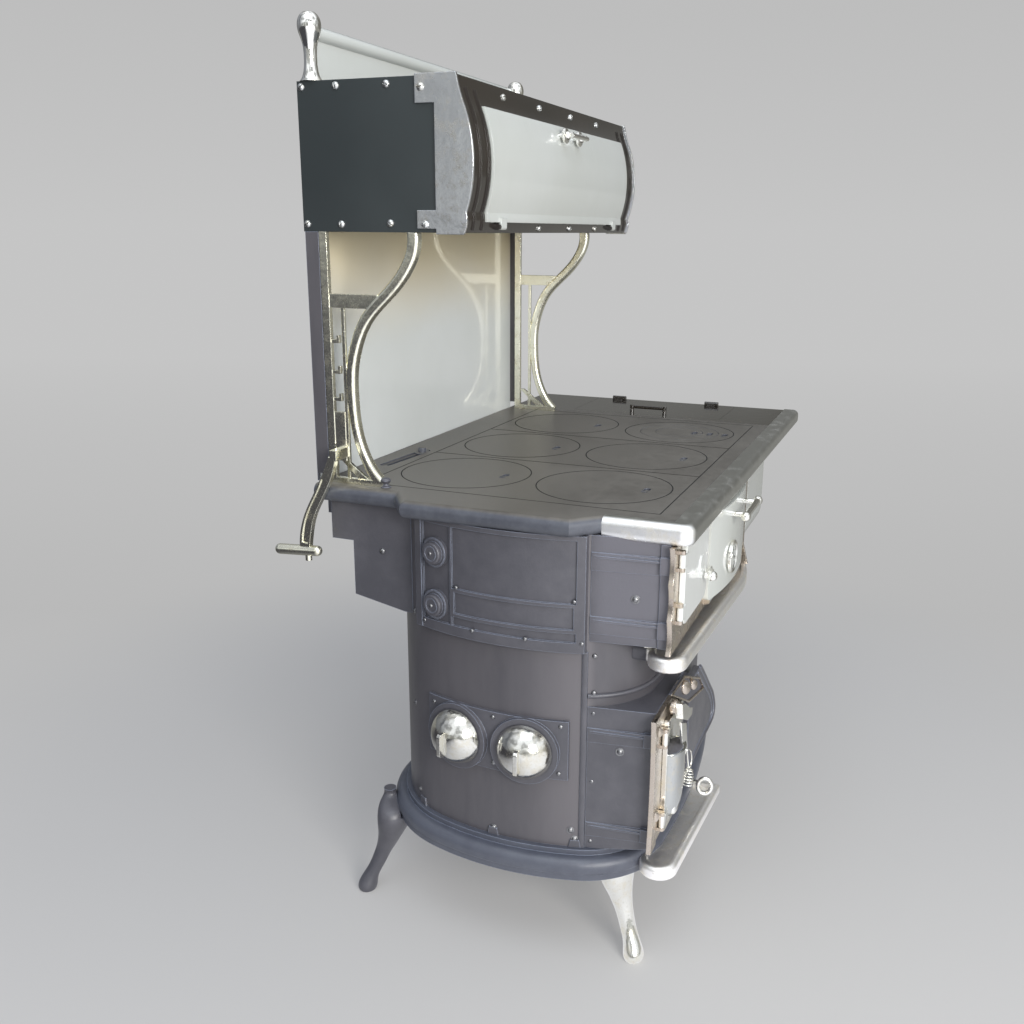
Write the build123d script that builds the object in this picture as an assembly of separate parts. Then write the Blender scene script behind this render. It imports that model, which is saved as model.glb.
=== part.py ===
from build123d import *
import math
import os

# Wood cookstove with an oval body, a warming closet and a water reservoir.
# Millimetres. +X is the stove's right, +Y its back, +Z up; the floor is Z = 0.
# While it is laid out, X = 0 lies a little right of the closet's middle. At the end the whole
# stove is moved so that the origin lies on the floor under the middle of its box.

# ---------------------------------------------------------------- driving dimensions
# heights above the floor
skirt_bottom = 160.0
skirt_height = 48.0
cooktop_top = 800.0
cooktop_depth = 30.0
closet_bottom = 1226.0
closet_height = 232.0
gallery_height = 88.0

# oval body: a round left end, gently bowed front and back, and rounded corners
body_x = -110.0
body_y = -80.0
nose_radius = 454.0
body_front = 226.0
body_back = 270.0
bow_x = -300.0
bow_radius = 1820.0
body_right = 330.0
right_radius = 454.0
front_corner = 130.0
back_corner = 190.0
right_corner = 130.0
wrap_wall = 4.0
skirt_reach = 30.0
casting_wall = 8.0

# cooktop
edge_left = -533.0
edge_right = 362.0
edge_front = -345.0
edge_back = 300.0
bulge_reach = 48.0
trim_width = 35.0
edge_roll = 13.0
trim_drop = 6.0
plate_thickness = 10.0
ledge = 10.0
lid_radius = 118.6
lid_seam = 0.9
plate_seam = 0.5
ring_rest = 0.05
lid_thickness = 6.0
lid_spacing_x = 272.0
lid_spacing_y = 266.0
lid_first_x = -346.0
lid_first_y = -174.0

damper_x = -278.0
damper_y = 255.0
damper_turn = -4.0
damper_travel = 120.0
groove_width = 22.0
slot_width = 9.0

# water reservoir
reservoir_right = 606.0
reservoir_inset = 12.0
reservoir_floor = 490.0
reservoir_wall = 4.0
jacket_front = -305.0
jacket_back = 240.0
jacket_bend = 60.0
water_lid_front = -225.0
water_lid_back = 140.0
water_lid_recess = 6.0
lid_notch = 7.0
tank_wall = 2.0

# plates on the left nose
panel_bottom = 572.0
panel_back = 100.0
panel_thickness = 8.0
moulding_reach = 12.0
plug_y = 52.0
plug_heights = (712.0, 620.0)
draft_front = -190.0
draft_back = 76.0
draft_bottom = 338.0
draft_top = 446.0

# upper front casting with the feed door and the oven door
front_left = -526.0
front_right = 75.0
front_y = -345.0
front_bottom = 590.0
upper_rib = 742.0
lower_rib = 634.0
rib_height = 30.0
gusset_x = 8.0
gusset_top = 640.0
frame_thickness = 8.0
frame_flange = 22.0
ash_flange = 32.0
scallop_depth = 7.0
seam_x = -543.0
seam_y = -218.0

# doors
door_gap = 0.5
feed_left = -508.0
feed_right = -338.0
feed_bottom = 622.0
feed_top = 762.0
feed_thickness = 9.0
oven_left = -322.0
oven_right = 0.0
oven_bottom = 604.0
oven_top = 760.0
oven_bow = 17.0
oven_thickness = 9.0
oven_wall = 10.0
knuckle_radius = 5.0
pin_radius = 2.0
pin_clearance = 0.05

# ash section
ash_front = -330.0
ash_right = -225.0
ash_top = 474.0
ash_bottom = 209.0
ash_upper_rib = 436.0
ash_lower_rib = 259.0
ash_rib_height = 26.0
ash_door_left = -506.0
ash_door_right = -392.0
ash_door_bottom = 246.0
ash_door_top = 452.0

# inside the body
brick_thickness = 25.0
firebox_left = -496.0
firebox_right = -346.0
firebox_back = 120.0
firebox_bottom = 490.0
grate_thickness = 22.0
pan_depth = 90.0
sheet_thickness = 3.0
oven_back = 140.0
rack_height = 70.0
rack_bars = 12

# shelves
shelf_front = -386.0
shelf_left = -534.0
upper_shelf_bottom = 548.0
lower_shelf_bottom = 166.0
shelf_thickness = 26.0
lower_shelf_right = -215.0
shelf_bend_x = -100.0
shelf_rim = 12.0
shelf_floor = 17.0
shelf_root = 64.0

# backsplash, brackets and closet
splash_y = 301.0
splash_thickness = 4.0
bracket_x = -507.0
bracket_thickness = 20.0
bracket_rounding = 6.0
hook_heights = (951.0, 998.0, 1050.0)
bracket_post_y = 268.0
bracket_tie_z = 1103.0
closet_left = -507.0
closet_right = 363.0
closet_back = 310.0
closet_wall = 3.0
closet_door_left = -440.0
closet_door_right = 292.0
corner_thickness = 5.0
corner_gap = 0.2

# flue
flue_x = -72.0
flue_y = 405.0
collar_radius = 77.8
collar_wall = 5.0
collar_height = 50.0
flue_hole_gap = 3.0
flue_box_half = 105.0
flue_box_margin = 22.0
rear_left = -505.0
rear_right = 240.0
rear_depth = 284.0
rear_waist = 241.0
rear_step = 696.0
rear_floor = 575.0
rear_wall = 5.0


# ---------------------------------------------------------------- worked out once
cooktop_under = cooktop_top - cooktop_depth
skirt_top = skirt_bottom + skirt_height
closet_top = closet_bottom + closet_height
upper_shelf_top = upper_shelf_bottom + shelf_thickness
front_face = body_y - body_front
back_face = body_y + body_back
frame_face = front_y - frame_thickness
door_back = frame_face - door_gap
hinge_y = frame_face - knuckle_radius - door_gap
trim_front = edge_front - trim_width
ash_face = ash_front - frame_thickness
ash_hinge_y = ash_face - knuckle_radius - door_gap

parts = {}


def keep(name, shape):
    """Give a finished piece its name."""
    parts[name] = shape


def block(x0, x1, y0, y1, z0, z1):
    """A box from its six faces."""
    size = Box(x1 - x0, y1 - y0, z1 - z0)
    return Pos((x0 + x1) / 2, (y0 + y1) / 2, (z0 + z1) / 2) * size


def slab(points, z0, z1):
    """A plan outline pulled up from z0 to z1."""
    face = make_face(Polyline(*points, close=True))
    return Pos(0, 0, z0) * extrude(face, z1 - z0)


def side_prism(face, x0, x1):
    """A face drawn as (Y, Z), pulled along X from x0 to x1."""
    return Pos(x0, 0, 0) * extrude(Plane.YZ * face, x1 - x0)


def front_prism(face, y0, y1):
    """A face drawn as (X, Z), pulled along Y from y0 back to y1."""
    return Pos(0, y1, 0) * extrude(Plane.XZ * face, y1 - y0)


def rounded(x0, x1, z0, z1, radius):
    """A rounded rectangle in a drawing plane."""
    return Pos((x0 + x1) / 2, (z0 + z1) / 2) * RectangleRounded(x1 - x0, z1 - z0, radius)


def rod(start, end, radius):
    """A round rod between two points."""
    a = Vector(*start)
    b = Vector(*end)
    plane = Plane(origin=a, z_dir=b - a)
    return extrude(plane * Circle(radius), (b - a).length)


def ribbon(points, widths):
    """A flat curved bar: a face along a spline, with its width given at each point."""
    left = []
    right = []
    for i, (y, z) in enumerate(points):
        before = points[max(i - 1, 0)]
        after = points[min(i + 1, len(points) - 1)]
        dy = after[0] - before[0]
        dz = after[1] - before[1]
        length = math.hypot(dy, dz)
        half = widths[i] / 2
        left.append((y - dz / length * half, z + dy / length * half))
        right.append((y + dz / length * half, z - dy / length * half))
    sides = [Spline(*left), Spline(*right), Line(left[0], right[0]), Line(left[-1], right[-1])]
    return make_face(sides)


# ---------------------------------------------------------------- oval body
def oval(grow):
    """Plan face of the oval body, grown outwards."""
    bow = bow_radius + grow
    middle_y = (front_face + back_face) / 2
    face = Pos(body_x, body_y) * Circle(nose_radius + grow)
    face = face & Pos(body_right - right_radius, middle_y) * Circle(right_radius + grow)
    face = face & Pos(bow_x, front_face + bow_radius) * Circle(bow)
    face = face & Pos(bow_x, back_face - bow_radius) * Circle(bow)
    for x_side, y_side, radius in ((-1, -1, front_corner), (-1, 1, back_corner),
                                   (1, -1, right_corner), (1, 1, right_corner)):
        corner = face.vertices().sort_by(lambda v: x_side * (v.X - bow_x) + y_side * v.Y)[-1]
        face = fillet(corner, radius + grow)
    return face


def oval_slab(grow, z0, z1):
    return Pos(0, 0, z0) * extrude(oval(grow), z1 - z0)


def nose_shell(grow0, grow1, y0, y1, z0, z1):
    """Curved plate on the left end, between two Y values."""
    solid = Pos(0, 0, z0) * extrude(oval(grow1) - oval(grow0), z1 - z0)
    return solid & block(body_x - 2 * nose_radius, body_x - nose_radius / 2, y0, y1, z0, z1)


def make_base():
    """Skirt with its lip, roll and upright ring, and the bottom plate, cast in one."""
    lip = oval_slab(skirt_reach - 3, skirt_bottom, skirt_bottom + 14)
    roll = oval_slab(skirt_reach, skirt_bottom + 11, skirt_bottom + 38)
    roll = fillet(roll.edges().group_by(Axis.Z)[-1], 16)
    roll = fillet(roll.edges().group_by(Axis.Z)[0], 4)
    upright = oval_slab(9, skirt_bottom + 30, skirt_top)
    hollow = oval_slab(-16, skirt_bottom, skirt_top - 8)
    keep("base_ring", lip + roll + upright - hollow)


def front_box_plan(front, right, grow=0.0):
    """Plan of a casting that stands forward of the oval at its left front."""
    return [
        (seam_x - grow, seam_y),
        (front_left - grow, front - grow),
        (right + grow, front - grow),
        (right + grow, seam_y),
    ]


def make_wrap():
    """Sheet round the oval body, cut where the front castings and the drafts open into it."""
    wall = oval_slab(0, skirt_top, cooktop_under) - oval_slab(-wrap_wall, skirt_top, cooktop_under)
    mouth_upper = block(-505, front_right - 40, front_face - 60, front_face + 110,
                        front_bottom + 14, cooktop_under - 14)
    mouth_lower = block(-505, ash_right - 20, front_face - 60, front_face + 110,
                        ash_bottom + 30, ash_top - 30)
    wall = wall - mouth_upper - mouth_lower
    for y, z in dome_places:
        wall = wall - dome_axis(y, z, -30) * Cylinder(34, 80)
    keep("body_wrap", wall)


def make_side_panel():
    """Cast plate on the left nose under the cooktop, with its raised borders."""
    z0 = panel_bottom
    y0 = seam_y + 4
    low = z0 + 18
    high = cooktop_under - 8
    plate = nose_shell(0, panel_thickness, y0, panel_back, z0, cooktop_under)
    border = nose_shell(panel_thickness, moulding_reach, y0, panel_back, z0, cooktop_under)
    border = border - block(-700, 0, y0 + 14, 18, z0 + 96, high)
    border = border - block(-700, 0, y0 + 14, 18, low, z0 + 96)
    border = border - block(-700, 0, 22, 80, low, high)
    window = nose_shell(panel_thickness, moulding_reach, -202, 20, z0 + 34, z0 + 84)
    window = window - block(-700, 0, -196, 14, z0 + 40, z0 + 78)
    strip = nose_shell(panel_thickness, moulding_reach + 2, panel_back - 16, panel_back - 2, z0,
                       cooktop_under)
    keep("side_panel", plate + border + window + strip)
    plugs = [fire_plug(plug_y, z) for z in plug_heights]
    keep("fire_plugs", plugs[0] + plugs[1])


def nose_frame(y, z, grow):
    """Place on the nose whose Z axis points out of the wall."""
    angle = math.asin((y - body_y) / (nose_radius + grow))
    x = body_x - math.cos(angle) * (nose_radius + grow)
    direction = Vector(-math.cos(angle), math.sin(angle), 0)
    return Plane(origin=(x, y, z), z_dir=direction, x_dir=(0, 0, 1))


def fire_plug(y, z):
    """Round two-step cover screwed to the side panel."""
    flange_radius = 26
    flange_height = 6
    place = nose_frame(y, z, panel_thickness)
    flange = Pos(0, 0, -3) * extrude(Circle(flange_radius), flange_height + 3)
    cap = Pos(0, 0, flange_height) * extrude(Circle(19), 9)
    cap = fillet(cap.edges().group_by(Axis.Z)[-1], 3)
    back = nose_shell(-20, panel_thickness, y - 40, y + 40, z - 40, z + 40)
    return place.location * (flange + cap) - back


dome_places = [(11.0, 386.0), (-116.0, 386.0)]
dome_radius = 50.0
dome_depth = 36.0
dome_grow = 14.0
stud_radius = 4.0


def dome_axis(y, z, out):
    return nose_frame(y, z, 0).location * Pos(0, 0, out)


def make_drafts():
    """Draft plate with its two seats and studs, and the two spun domes."""
    plate = nose_shell(0, 6, draft_front, draft_back, draft_bottom, draft_top)
    for y, z in dome_places:
        plate = plate + (dome_axis(y, z, 0) * extrude(Circle(60), 12) - nose_core())
    for y, z in dome_places:
        plate = plate - dome_axis(y, z, -30) * Cylinder(34, 120)
        spider = dome_axis(y, z, 0) * (Pos(0, 0, 4) * (Box(8, 76, 8) + Cylinder(9, 8)))
        stud = dome_axis(y, z, 0) * extrude(Circle(stud_radius), 34)
        plate = plate + spider + stud
    keep("draft_plate", plate)
    for name, (y, z) in zip(["draft_dome_rear", "draft_dome_front"], dome_places):
        keep(name, dome_axis(y, z, dome_grow) * dome())


def nose_core():
    return Pos(body_x, body_y, 0) * extrude(Circle(nose_radius), cooktop_under)


def dome():
    """Spun draft dome with its finger tab and threaded hub."""
    wall = 2.5
    sphere_radius = (dome_radius ** 2 + dome_depth ** 2) / (2 * dome_depth)
    outer = Pos(0, 0, dome_depth - sphere_radius) * Sphere(sphere_radius)
    inner = Pos(0, 0, dome_depth - sphere_radius) * Sphere(sphere_radius - wall)
    cap = (outer - inner) & Pos(0, 0, dome_depth / 2) * Cylinder(2 * dome_radius, dome_depth)
    hub = extrude(Circle(9), dome_depth - wall / 2)
    bore = extrude(Circle(stud_radius + pin_clearance), dome_depth - 12)
    tab = Pos(0, 0, dome_depth + 2) * Box(44, 7, 20)
    tab = fillet(tab.edges().filter_by(Axis.Y), 7)
    return cap + hub + tab - bore


# ---------------------------------------------------------------- front castings
def side_moulding(front, z0, z1, near, far, stop=14.0):
    """Moulding on the left wall of a front casting: near proud at the seam, far at the corner."""
    return slab([(seam_x - near, seam_y), (front_left - far, front + stop),
                 (front_left + 4, front + stop), (seam_x + 4, seam_y)], z0, z1)


def corner_block(front, z0, z1, proud):
    """Upright strip or block beside the corner of a front casting."""
    return slab([(front_left - proud - 1, front + 17), (front_left - proud, front + 1),
                 (front_left + 3, front + 1), (front_left + 3, front + 17)], z0, z1)


def side_rib(front, z0, z1):
    """Rib with a double-edged bead on top, a flat band below it and a block at its end."""
    bead = 9
    rib = side_moulding(front, z1 - bead, z1 - bead + 3.5, 1, 7)
    rib = rib + side_moulding(front, z1 - 3.5, z1, 1, 7)
    rib = rib + side_moulding(front, z1 - bead, z1, 0.5, 4.5)
    rib = rib + side_moulding(front, z0, z1, 1, 2.5)
    return rib + corner_block(front, z0 + 4, z1 + 2, 9)


def scalloped_strip(x_out, x_in, z0, z1, waves):
    """Upright frame strip whose left edge is cut in shallow hollows."""
    step = (z1 - z0) / waves
    edges = [Line((x_out, z0), (x_in, z0)), Line((x_in, z0), (x_in, z1)),
             Line((x_in, z1), (x_out, z1))]
    for i in range(waves):
        low = z0 + i * step
        edges.append(ThreePointArc((x_out, low), (x_out + scallop_depth, low + step / 2),
                                   (x_out, low + step)))
    return make_face(edges)


def make_front():
    """Upper front casting, open at the back, with the nickel frame on its face."""
    plan = front_box_plan(front_y, front_right)
    outer = slab(plan, front_bottom, cooktop_under)
    wall = casting_wall
    inner_plan = [
        (seam_x + wall, seam_y + 40),
        (seam_x + wall, seam_y),
        (front_left + wall, front_y + wall),
        (front_right - wall, front_y + wall),
        (front_right - wall, seam_y + 40),
    ]
    outer = outer + side_rib(front_y, upper_rib - rib_height, upper_rib)
    outer = outer + side_rib(front_y, lower_rib - rib_height, lower_rib)
    outer = outer + corner_block(front_y, front_bottom, cooktop_under - trim_drop, 5)
    outer = outer - slab(inner_plan, front_bottom + wall, cooktop_under - wall)
    outer = outer - oval_slab(0, front_bottom, cooktop_under)
    feed_mouth = block(feed_left + 14, feed_right - 14, front_y - 1, front_y + 20,
                       feed_bottom + 12, feed_top - 12)
    oven_mouth = block(oven_left + 12, oven_right - 12, front_y - 1, front_y + 20,
                       oven_bottom + 12, oven_top - 12)
    keep("upper_front", outer - feed_mouth - oven_mouth)

    strip = scalloped_strip(front_left - frame_flange, front_left + 2, front_bottom - 4,
                            cooktop_under - trim_drop, 3)
    frame = block(front_left, front_right + 2, frame_face, front_y, front_bottom - 4,
                  cooktop_under)
    frame = frame + front_prism(strip, frame_face, front_y)
    gusset = make_face(Polyline((front_y, gusset_top), (front_y, upper_shelf_top),
                                (shelf_front + 12, upper_shelf_top),
                                (shelf_front + 14, upper_shelf_top + 8),
                                (frame_face - 4, gusset_top), close=True))
    frame = frame + side_prism(gusset, gusset_x, gusset_x + 7)
    frame = frame - block(feed_left + 14, feed_right - 14, frame_face - 1, front_y + 1,
                          feed_bottom + 12, feed_top - 12)
    frame = frame - block(oven_left + 12, oven_right - 12, frame_face - 1, front_y + 1,
                          oven_bottom + 12, oven_top - 12)
    hinge_x = feed_left - knuckle_radius - 2
    for z in (feed_bottom + 26, feed_top - 26):
        frame = frame + pin_and_ears((hinge_x, hinge_y, z), (0, 0, 1), (0, 1, 0))
    for x in (oven_left + 30, oven_right - 30):
        frame = frame + pin_and_ears((x, hinge_y, oven_hinge_z), (1, 0, 0), (0, 1, 0))
    keep("front_frame", frame)


knuckle_length = 22.0
closet_hinge_y = 12.0 - knuckle_radius - door_gap
closet_hinge_z = closet_bottom + 10.0
ear_length = 6.0
oven_hinge_z = oven_bottom - knuckle_radius - 1.0


def pin_and_ears(centre, along, into):
    """Hinge pin held between two ears that stand on the frame's face."""
    middle = Vector(*centre)
    axis = Vector(*along)
    half = knuckle_length / 2 + 0.4
    reach = half + ear_length
    pin = rod(middle - axis * reach, middle + axis * reach, pin_radius)
    solid = pin
    for side in (-1, 1):
        inner = middle + axis * (side * half)
        outer = middle + axis * (side * reach)
        ear = rod(inner, outer, knuckle_radius)
        foot_middle = (inner + outer) * 0.5 + Vector(*into) * ((knuckle_radius + door_gap) / 2)
        size = [2 * knuckle_radius] * 3
        for i in range(3):
            if along[i]:
                size[i] = ear_length
            if into[i]:
                size[i] = knuckle_radius + door_gap
        foot = Pos(*foot_middle) * Box(*size)
        solid = solid + ear + foot
    return solid


def knuckle(centre, along, leaf):
    """Tube round the hinge pin, with a leaf that reaches the door."""
    middle = Vector(*centre)
    axis = Vector(*along)
    half = axis * (knuckle_length / 2)
    tube = rod(middle - half, middle + half, knuckle_radius)
    tube = tube + leaf
    return tube - rod(middle - axis * knuckle_length, middle + axis * knuckle_length,
                      pin_radius + pin_clearance)


latch_pivot_x = feed_right - 20
latch_pivot_z = (feed_bottom + feed_top) / 2 - 22


def make_feed_door():
    """Feed door with its knuckles and boss, and its turning latch."""
    panel = front_prism(rounded(feed_left, feed_right, feed_bottom, feed_top, 24),
                        door_back - feed_thickness, door_back)
    panel = fillet(panel.edges().group_by(Axis.Y)[0], 3)
    badge = Pos((feed_left + feed_right) / 2 + 30, door_back - feed_thickness, 690)
    boss = badge * (Plane.XZ * extrude(Ellipse(13, 20), 2))
    door = panel + boss
    hinge_x = feed_left - knuckle_radius - 2
    for z in (feed_bottom + 26, feed_top - 26):
        leaf = block(hinge_x, feed_left + 12, hinge_y - knuckle_radius, hinge_y - 1,
                     z - knuckle_length / 2, z + knuckle_length / 2)
        door = door + knuckle((hinge_x, hinge_y, z), (0, 0, 1), leaf)
    keep("feed_door", door)
    latch_y = door_back - feed_thickness
    arm = front_prism(SlotCenterToCenter(34, 12), latch_y - 8.3, latch_y - 3.3)
    arm = arm + rod((0, latch_y - 0.3, 0), (0, latch_y - 14, 0), 7)
    arm = arm + Pos(-17, latch_y - 16, 0) * Sphere(9)
    keep("feed_latch", Pos(latch_pivot_x, 0, latch_pivot_z) * arm)


def bowed_pan(x0, x1, z0, z1, edge, bow, radius):
    """Door pan whose front bows out along its width."""
    middle = (x0 + x1) / 2
    back = door_back
    plan = make_face([
        ThreePointArc((x0, back - edge), (middle, back - edge - bow), (x1, back - edge)),
        Line((x1, back - edge), (x1, back)),
        Line((x1, back), (x0, back)),
        Line((x0, back), (x0, back - edge)),
    ])
    pan = Pos(0, 0, z0) * extrude(plan, z1 - z0)
    return fillet(pan.edges().filter_by(Axis.Y), radius)


def oven_door_bulk():
    return bowed_pan(oven_left, oven_right, oven_bottom, oven_top, oven_thickness, oven_bow, 8)


def make_oven_door():
    """Hollow bowed oven door, hinged along its bottom."""
    pan = oven_door_bulk()
    hollow = bowed_pan(oven_left + oven_wall, oven_right - oven_wall, oven_bottom + oven_wall,
                       oven_top - oven_wall, oven_thickness - 4, oven_bow - 2, 6)
    for x in (oven_left + 30, oven_right - 30):
        leaf = block(x - knuckle_length / 2, x + knuckle_length / 2,
                     hinge_y - knuckle_radius, hinge_y - 1, oven_hinge_z, oven_bottom + 4)
        pan = pan + knuckle((x, hinge_y, oven_hinge_z), (1, 0, 0), leaf)
    thermo = Pos(thermo_x, door_back - oven_thickness - oven_bow - 2, thermo_z)
    seat = thermo * (Plane.XZ.offset(-12) * Cylinder(thermo_radius - 6, 60))
    keep("oven_door", pan - hollow - seat)


thermo_x = -205.0
thermo_z = 655.0
thermo_radius = 31.0


def make_oven_fittings():
    """Thermometer case and rod handle of the oven door."""
    face = door_back - oven_thickness - oven_bow
    case = extrude(Plane.XZ * Circle(thermo_radius), 5)
    stem = Plane.XZ.offset(-14) * extrude(Circle(thermo_radius - 6.4), 14)
    bezel = Pos(thermo_x, face + 1.5, thermo_z) * (case + stem)
    door_bulk = oven_door_bulk()
    seat = Pos(thermo_x, 0, thermo_z) * (Plane.XZ * Cylinder(thermo_radius - 6.2, 2000))
    bezel = bezel - (door_bulk - seat)
    keep("thermometer", bezel)
    middle = (oven_left + oven_right) / 2
    top_z = oven_top - 22
    face_y = door_back - oven_thickness - oven_bow
    grip = rod((middle - 60, face_y - 24, top_z), (middle + 60, face_y - 24, top_z), 6)
    handle = grip
    for side in (-1, 1):
        x = middle + side * 50
        handle = handle + rod((x, face_y - 24, top_z), (x, face_y + 8, top_z), 5)
        handle = handle + Pos(middle + side * 62, face_y - 24, top_z) * Sphere(9)
    keep("oven_handle", handle - door_bulk)


# ---------------------------------------------------------------- ash section
def make_ash_section():
    """Ash box with its leaf panel, its nickel frame, the ash door and the latch."""
    plan = front_box_plan(ash_front, ash_right)
    box = slab(plan, ash_bottom, ash_top)
    inner_plan = [
        (seam_x + casting_wall, seam_y + 60),
        (seam_x + casting_wall, seam_y),
        (front_left + casting_wall, ash_front + casting_wall),
        (ash_right - casting_wall, ash_front + casting_wall),
        (ash_right - casting_wall, seam_y + 60),
    ]
    box = box + side_rib(ash_front, ash_upper_rib - ash_rib_height, ash_upper_rib)
    box = box + side_rib(ash_front, ash_lower_rib - ash_rib_height, ash_lower_rib)
    lower_cut = make_face(Polyline((ash_front - 20, ash_bottom + 14), (seam_y - 20, ash_bottom),
                                   (ash_front - 20, ash_bottom), close=True))
    box = box - side_prism(lower_cut, front_left - 40, ash_right + 40)
    box = box - slab(inner_plan, ash_bottom + casting_wall + 50, ash_top - casting_wall)
    box = box - oval_slab(0, ash_bottom, ash_top)
    mouth = block(ash_door_left + 12, ash_door_right - 12, ash_face - 1, ash_front + 20,
                  ash_door_bottom + 30, ash_door_top - 12)
    wing = front_prism(belly_outline(0), ash_front - 22, ash_front)
    wing = wing - front_prism(belly_outline(-8), ash_front - 30, ash_front - 14)
    guide = rod((shaker_x, ash_front - 10, shaker_z), (shaker_x, ash_front + 40, shaker_z),
                shaker_rod + 0.3)
    keep("ash_box", box - mouth + wing - guide)
    strip = scalloped_strip(front_left - ash_flange, front_left + 2, ash_door_bottom - 14,
                            ash_top, 1)
    frame = block(front_left, ash_door_right + 8, ash_face, ash_front, ash_door_bottom - 6,
                  ash_top)
    frame = frame + front_prism(strip, ash_face, ash_front) - mouth
    hinge_x = ash_door_left - knuckle_radius - 2
    for z in (ash_door_bottom + 26, ash_door_top - 26):
        frame = frame + pin_and_ears((hinge_x, ash_hinge_y, z), (0, 0, 1), (0, 1, 0))
    keep("ash_frame", frame)

    back = ash_face - door_gap
    panel = front_prism(rounded(ash_door_left, ash_door_right, ash_door_bottom, ash_door_top, 10),
                        back - 8, back)
    scoop = front_prism(rounded(ash_door_left + 20, ash_door_right - 46, 262, 380, 20),
                        back - 20, back - 8)
    scoop = fillet(scoop.edges().group_by(Axis.Y)[0], 8)
    door = panel + scoop
    for z in (ash_door_bottom + 26, ash_door_top - 26):
        leaf = block(hinge_x, ash_door_left + 12, ash_hinge_y - knuckle_radius, ash_hinge_y - 1,
                     z - knuckle_length / 2, z + knuckle_length / 2)
        door = door + knuckle((hinge_x, ash_hinge_y, z), (0, 0, 1), leaf)
    pivot = (latch_x, back - 8, latch_z)
    door = door + rod(pivot, (latch_x, back - 22, latch_z), 4)
    keep("ash_door", door)
    keep("ash_latch", make_latch(back - 8))


latch_x = -412.0
latch_z = 432.0


def make_latch(face):
    """Drop lever with a coiled-wire grip, on the ash door's pivot."""
    plate = front_prism(Pos(latch_x, latch_z) * Circle(13), face - 12, face - 4)
    lever = rod((latch_x, face - 8, latch_z), (latch_x - 6, face - 18, latch_z - 62), 4.5)
    grip = rod((latch_x - 6, face - 18, latch_z - 60), (latch_x - 6, face - 18, latch_z - 118), 10)
    grip = fillet(grip.edges(), 3)
    bore = front_prism(Pos(latch_x, latch_z) * Circle(4 + pin_clearance), face - 60, face + 10)
    return plate + lever + grip - bore


def belly_outline(grow):
    """Leaf-shaped raised panel to the right of the ash door."""
    points = [(-381, 352), (-300, 344), (-252, 376), (-262, 404), (-336, 470), (-381, 470)]
    face = make_face(Polyline(*points, close=True))
    face = fillet(face.vertices(), 12)
    if grow:
        face = offset(face, grow)
    return face


# ---------------------------------------------------------------- shelves
def shelf(x1, z0):
    """Nickel front shelf: a trough inside a rounded lip, with a bumper at its left end."""
    back = front_face + shelf_root
    root = (shelf_left + 37, back)
    start = (shelf_left + 37, front_face)
    far = (shelf_left, front_face - 34)
    nose = (shelf_left + 34, shelf_front + 14)
    edges = [Line(root, start), ThreePointArc(start, far, nose)]
    if x1 > shelf_bend_x:
        bend = (shelf_bend_x, shelf_front)
        tip = (x1, front_y - 5)
        edges.append(Line(nose, bend))
        edges.append(ThreePointArc(bend, ((bend[0] + tip[0]) / 2 + 10, shelf_front + 10), tip))
    else:
        tip = (x1, shelf_front)
        edges.append(Line(nose, tip))
    edges.append(Line(tip, (x1, back)))
    edges.append(Line((x1, back), root))
    plan = make_face(edges)
    tray = extrude(plan, shelf_thickness)
    outer = [e for e in tray.edges().filter_by(Plane.XY) if e.center().Y < back - 1]
    tray = fillet(outer, 8)
    trough = extrude(offset(plan, -shelf_rim), shelf_thickness)
    tray = tray - Pos(0, 0, shelf_floor) * trough - oval_slab(0, -1, 400)
    return Pos(0, 0, z0) * tray


def make_shelves():
    keep("upper_shelf", shelf(front_right, upper_shelf_bottom))
    low = shelf(lower_shelf_right, lower_shelf_bottom)
    keep("lower_shelf", low - oval_slab(skirt_reach, skirt_bottom - 20, skirt_top + 20))


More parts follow.
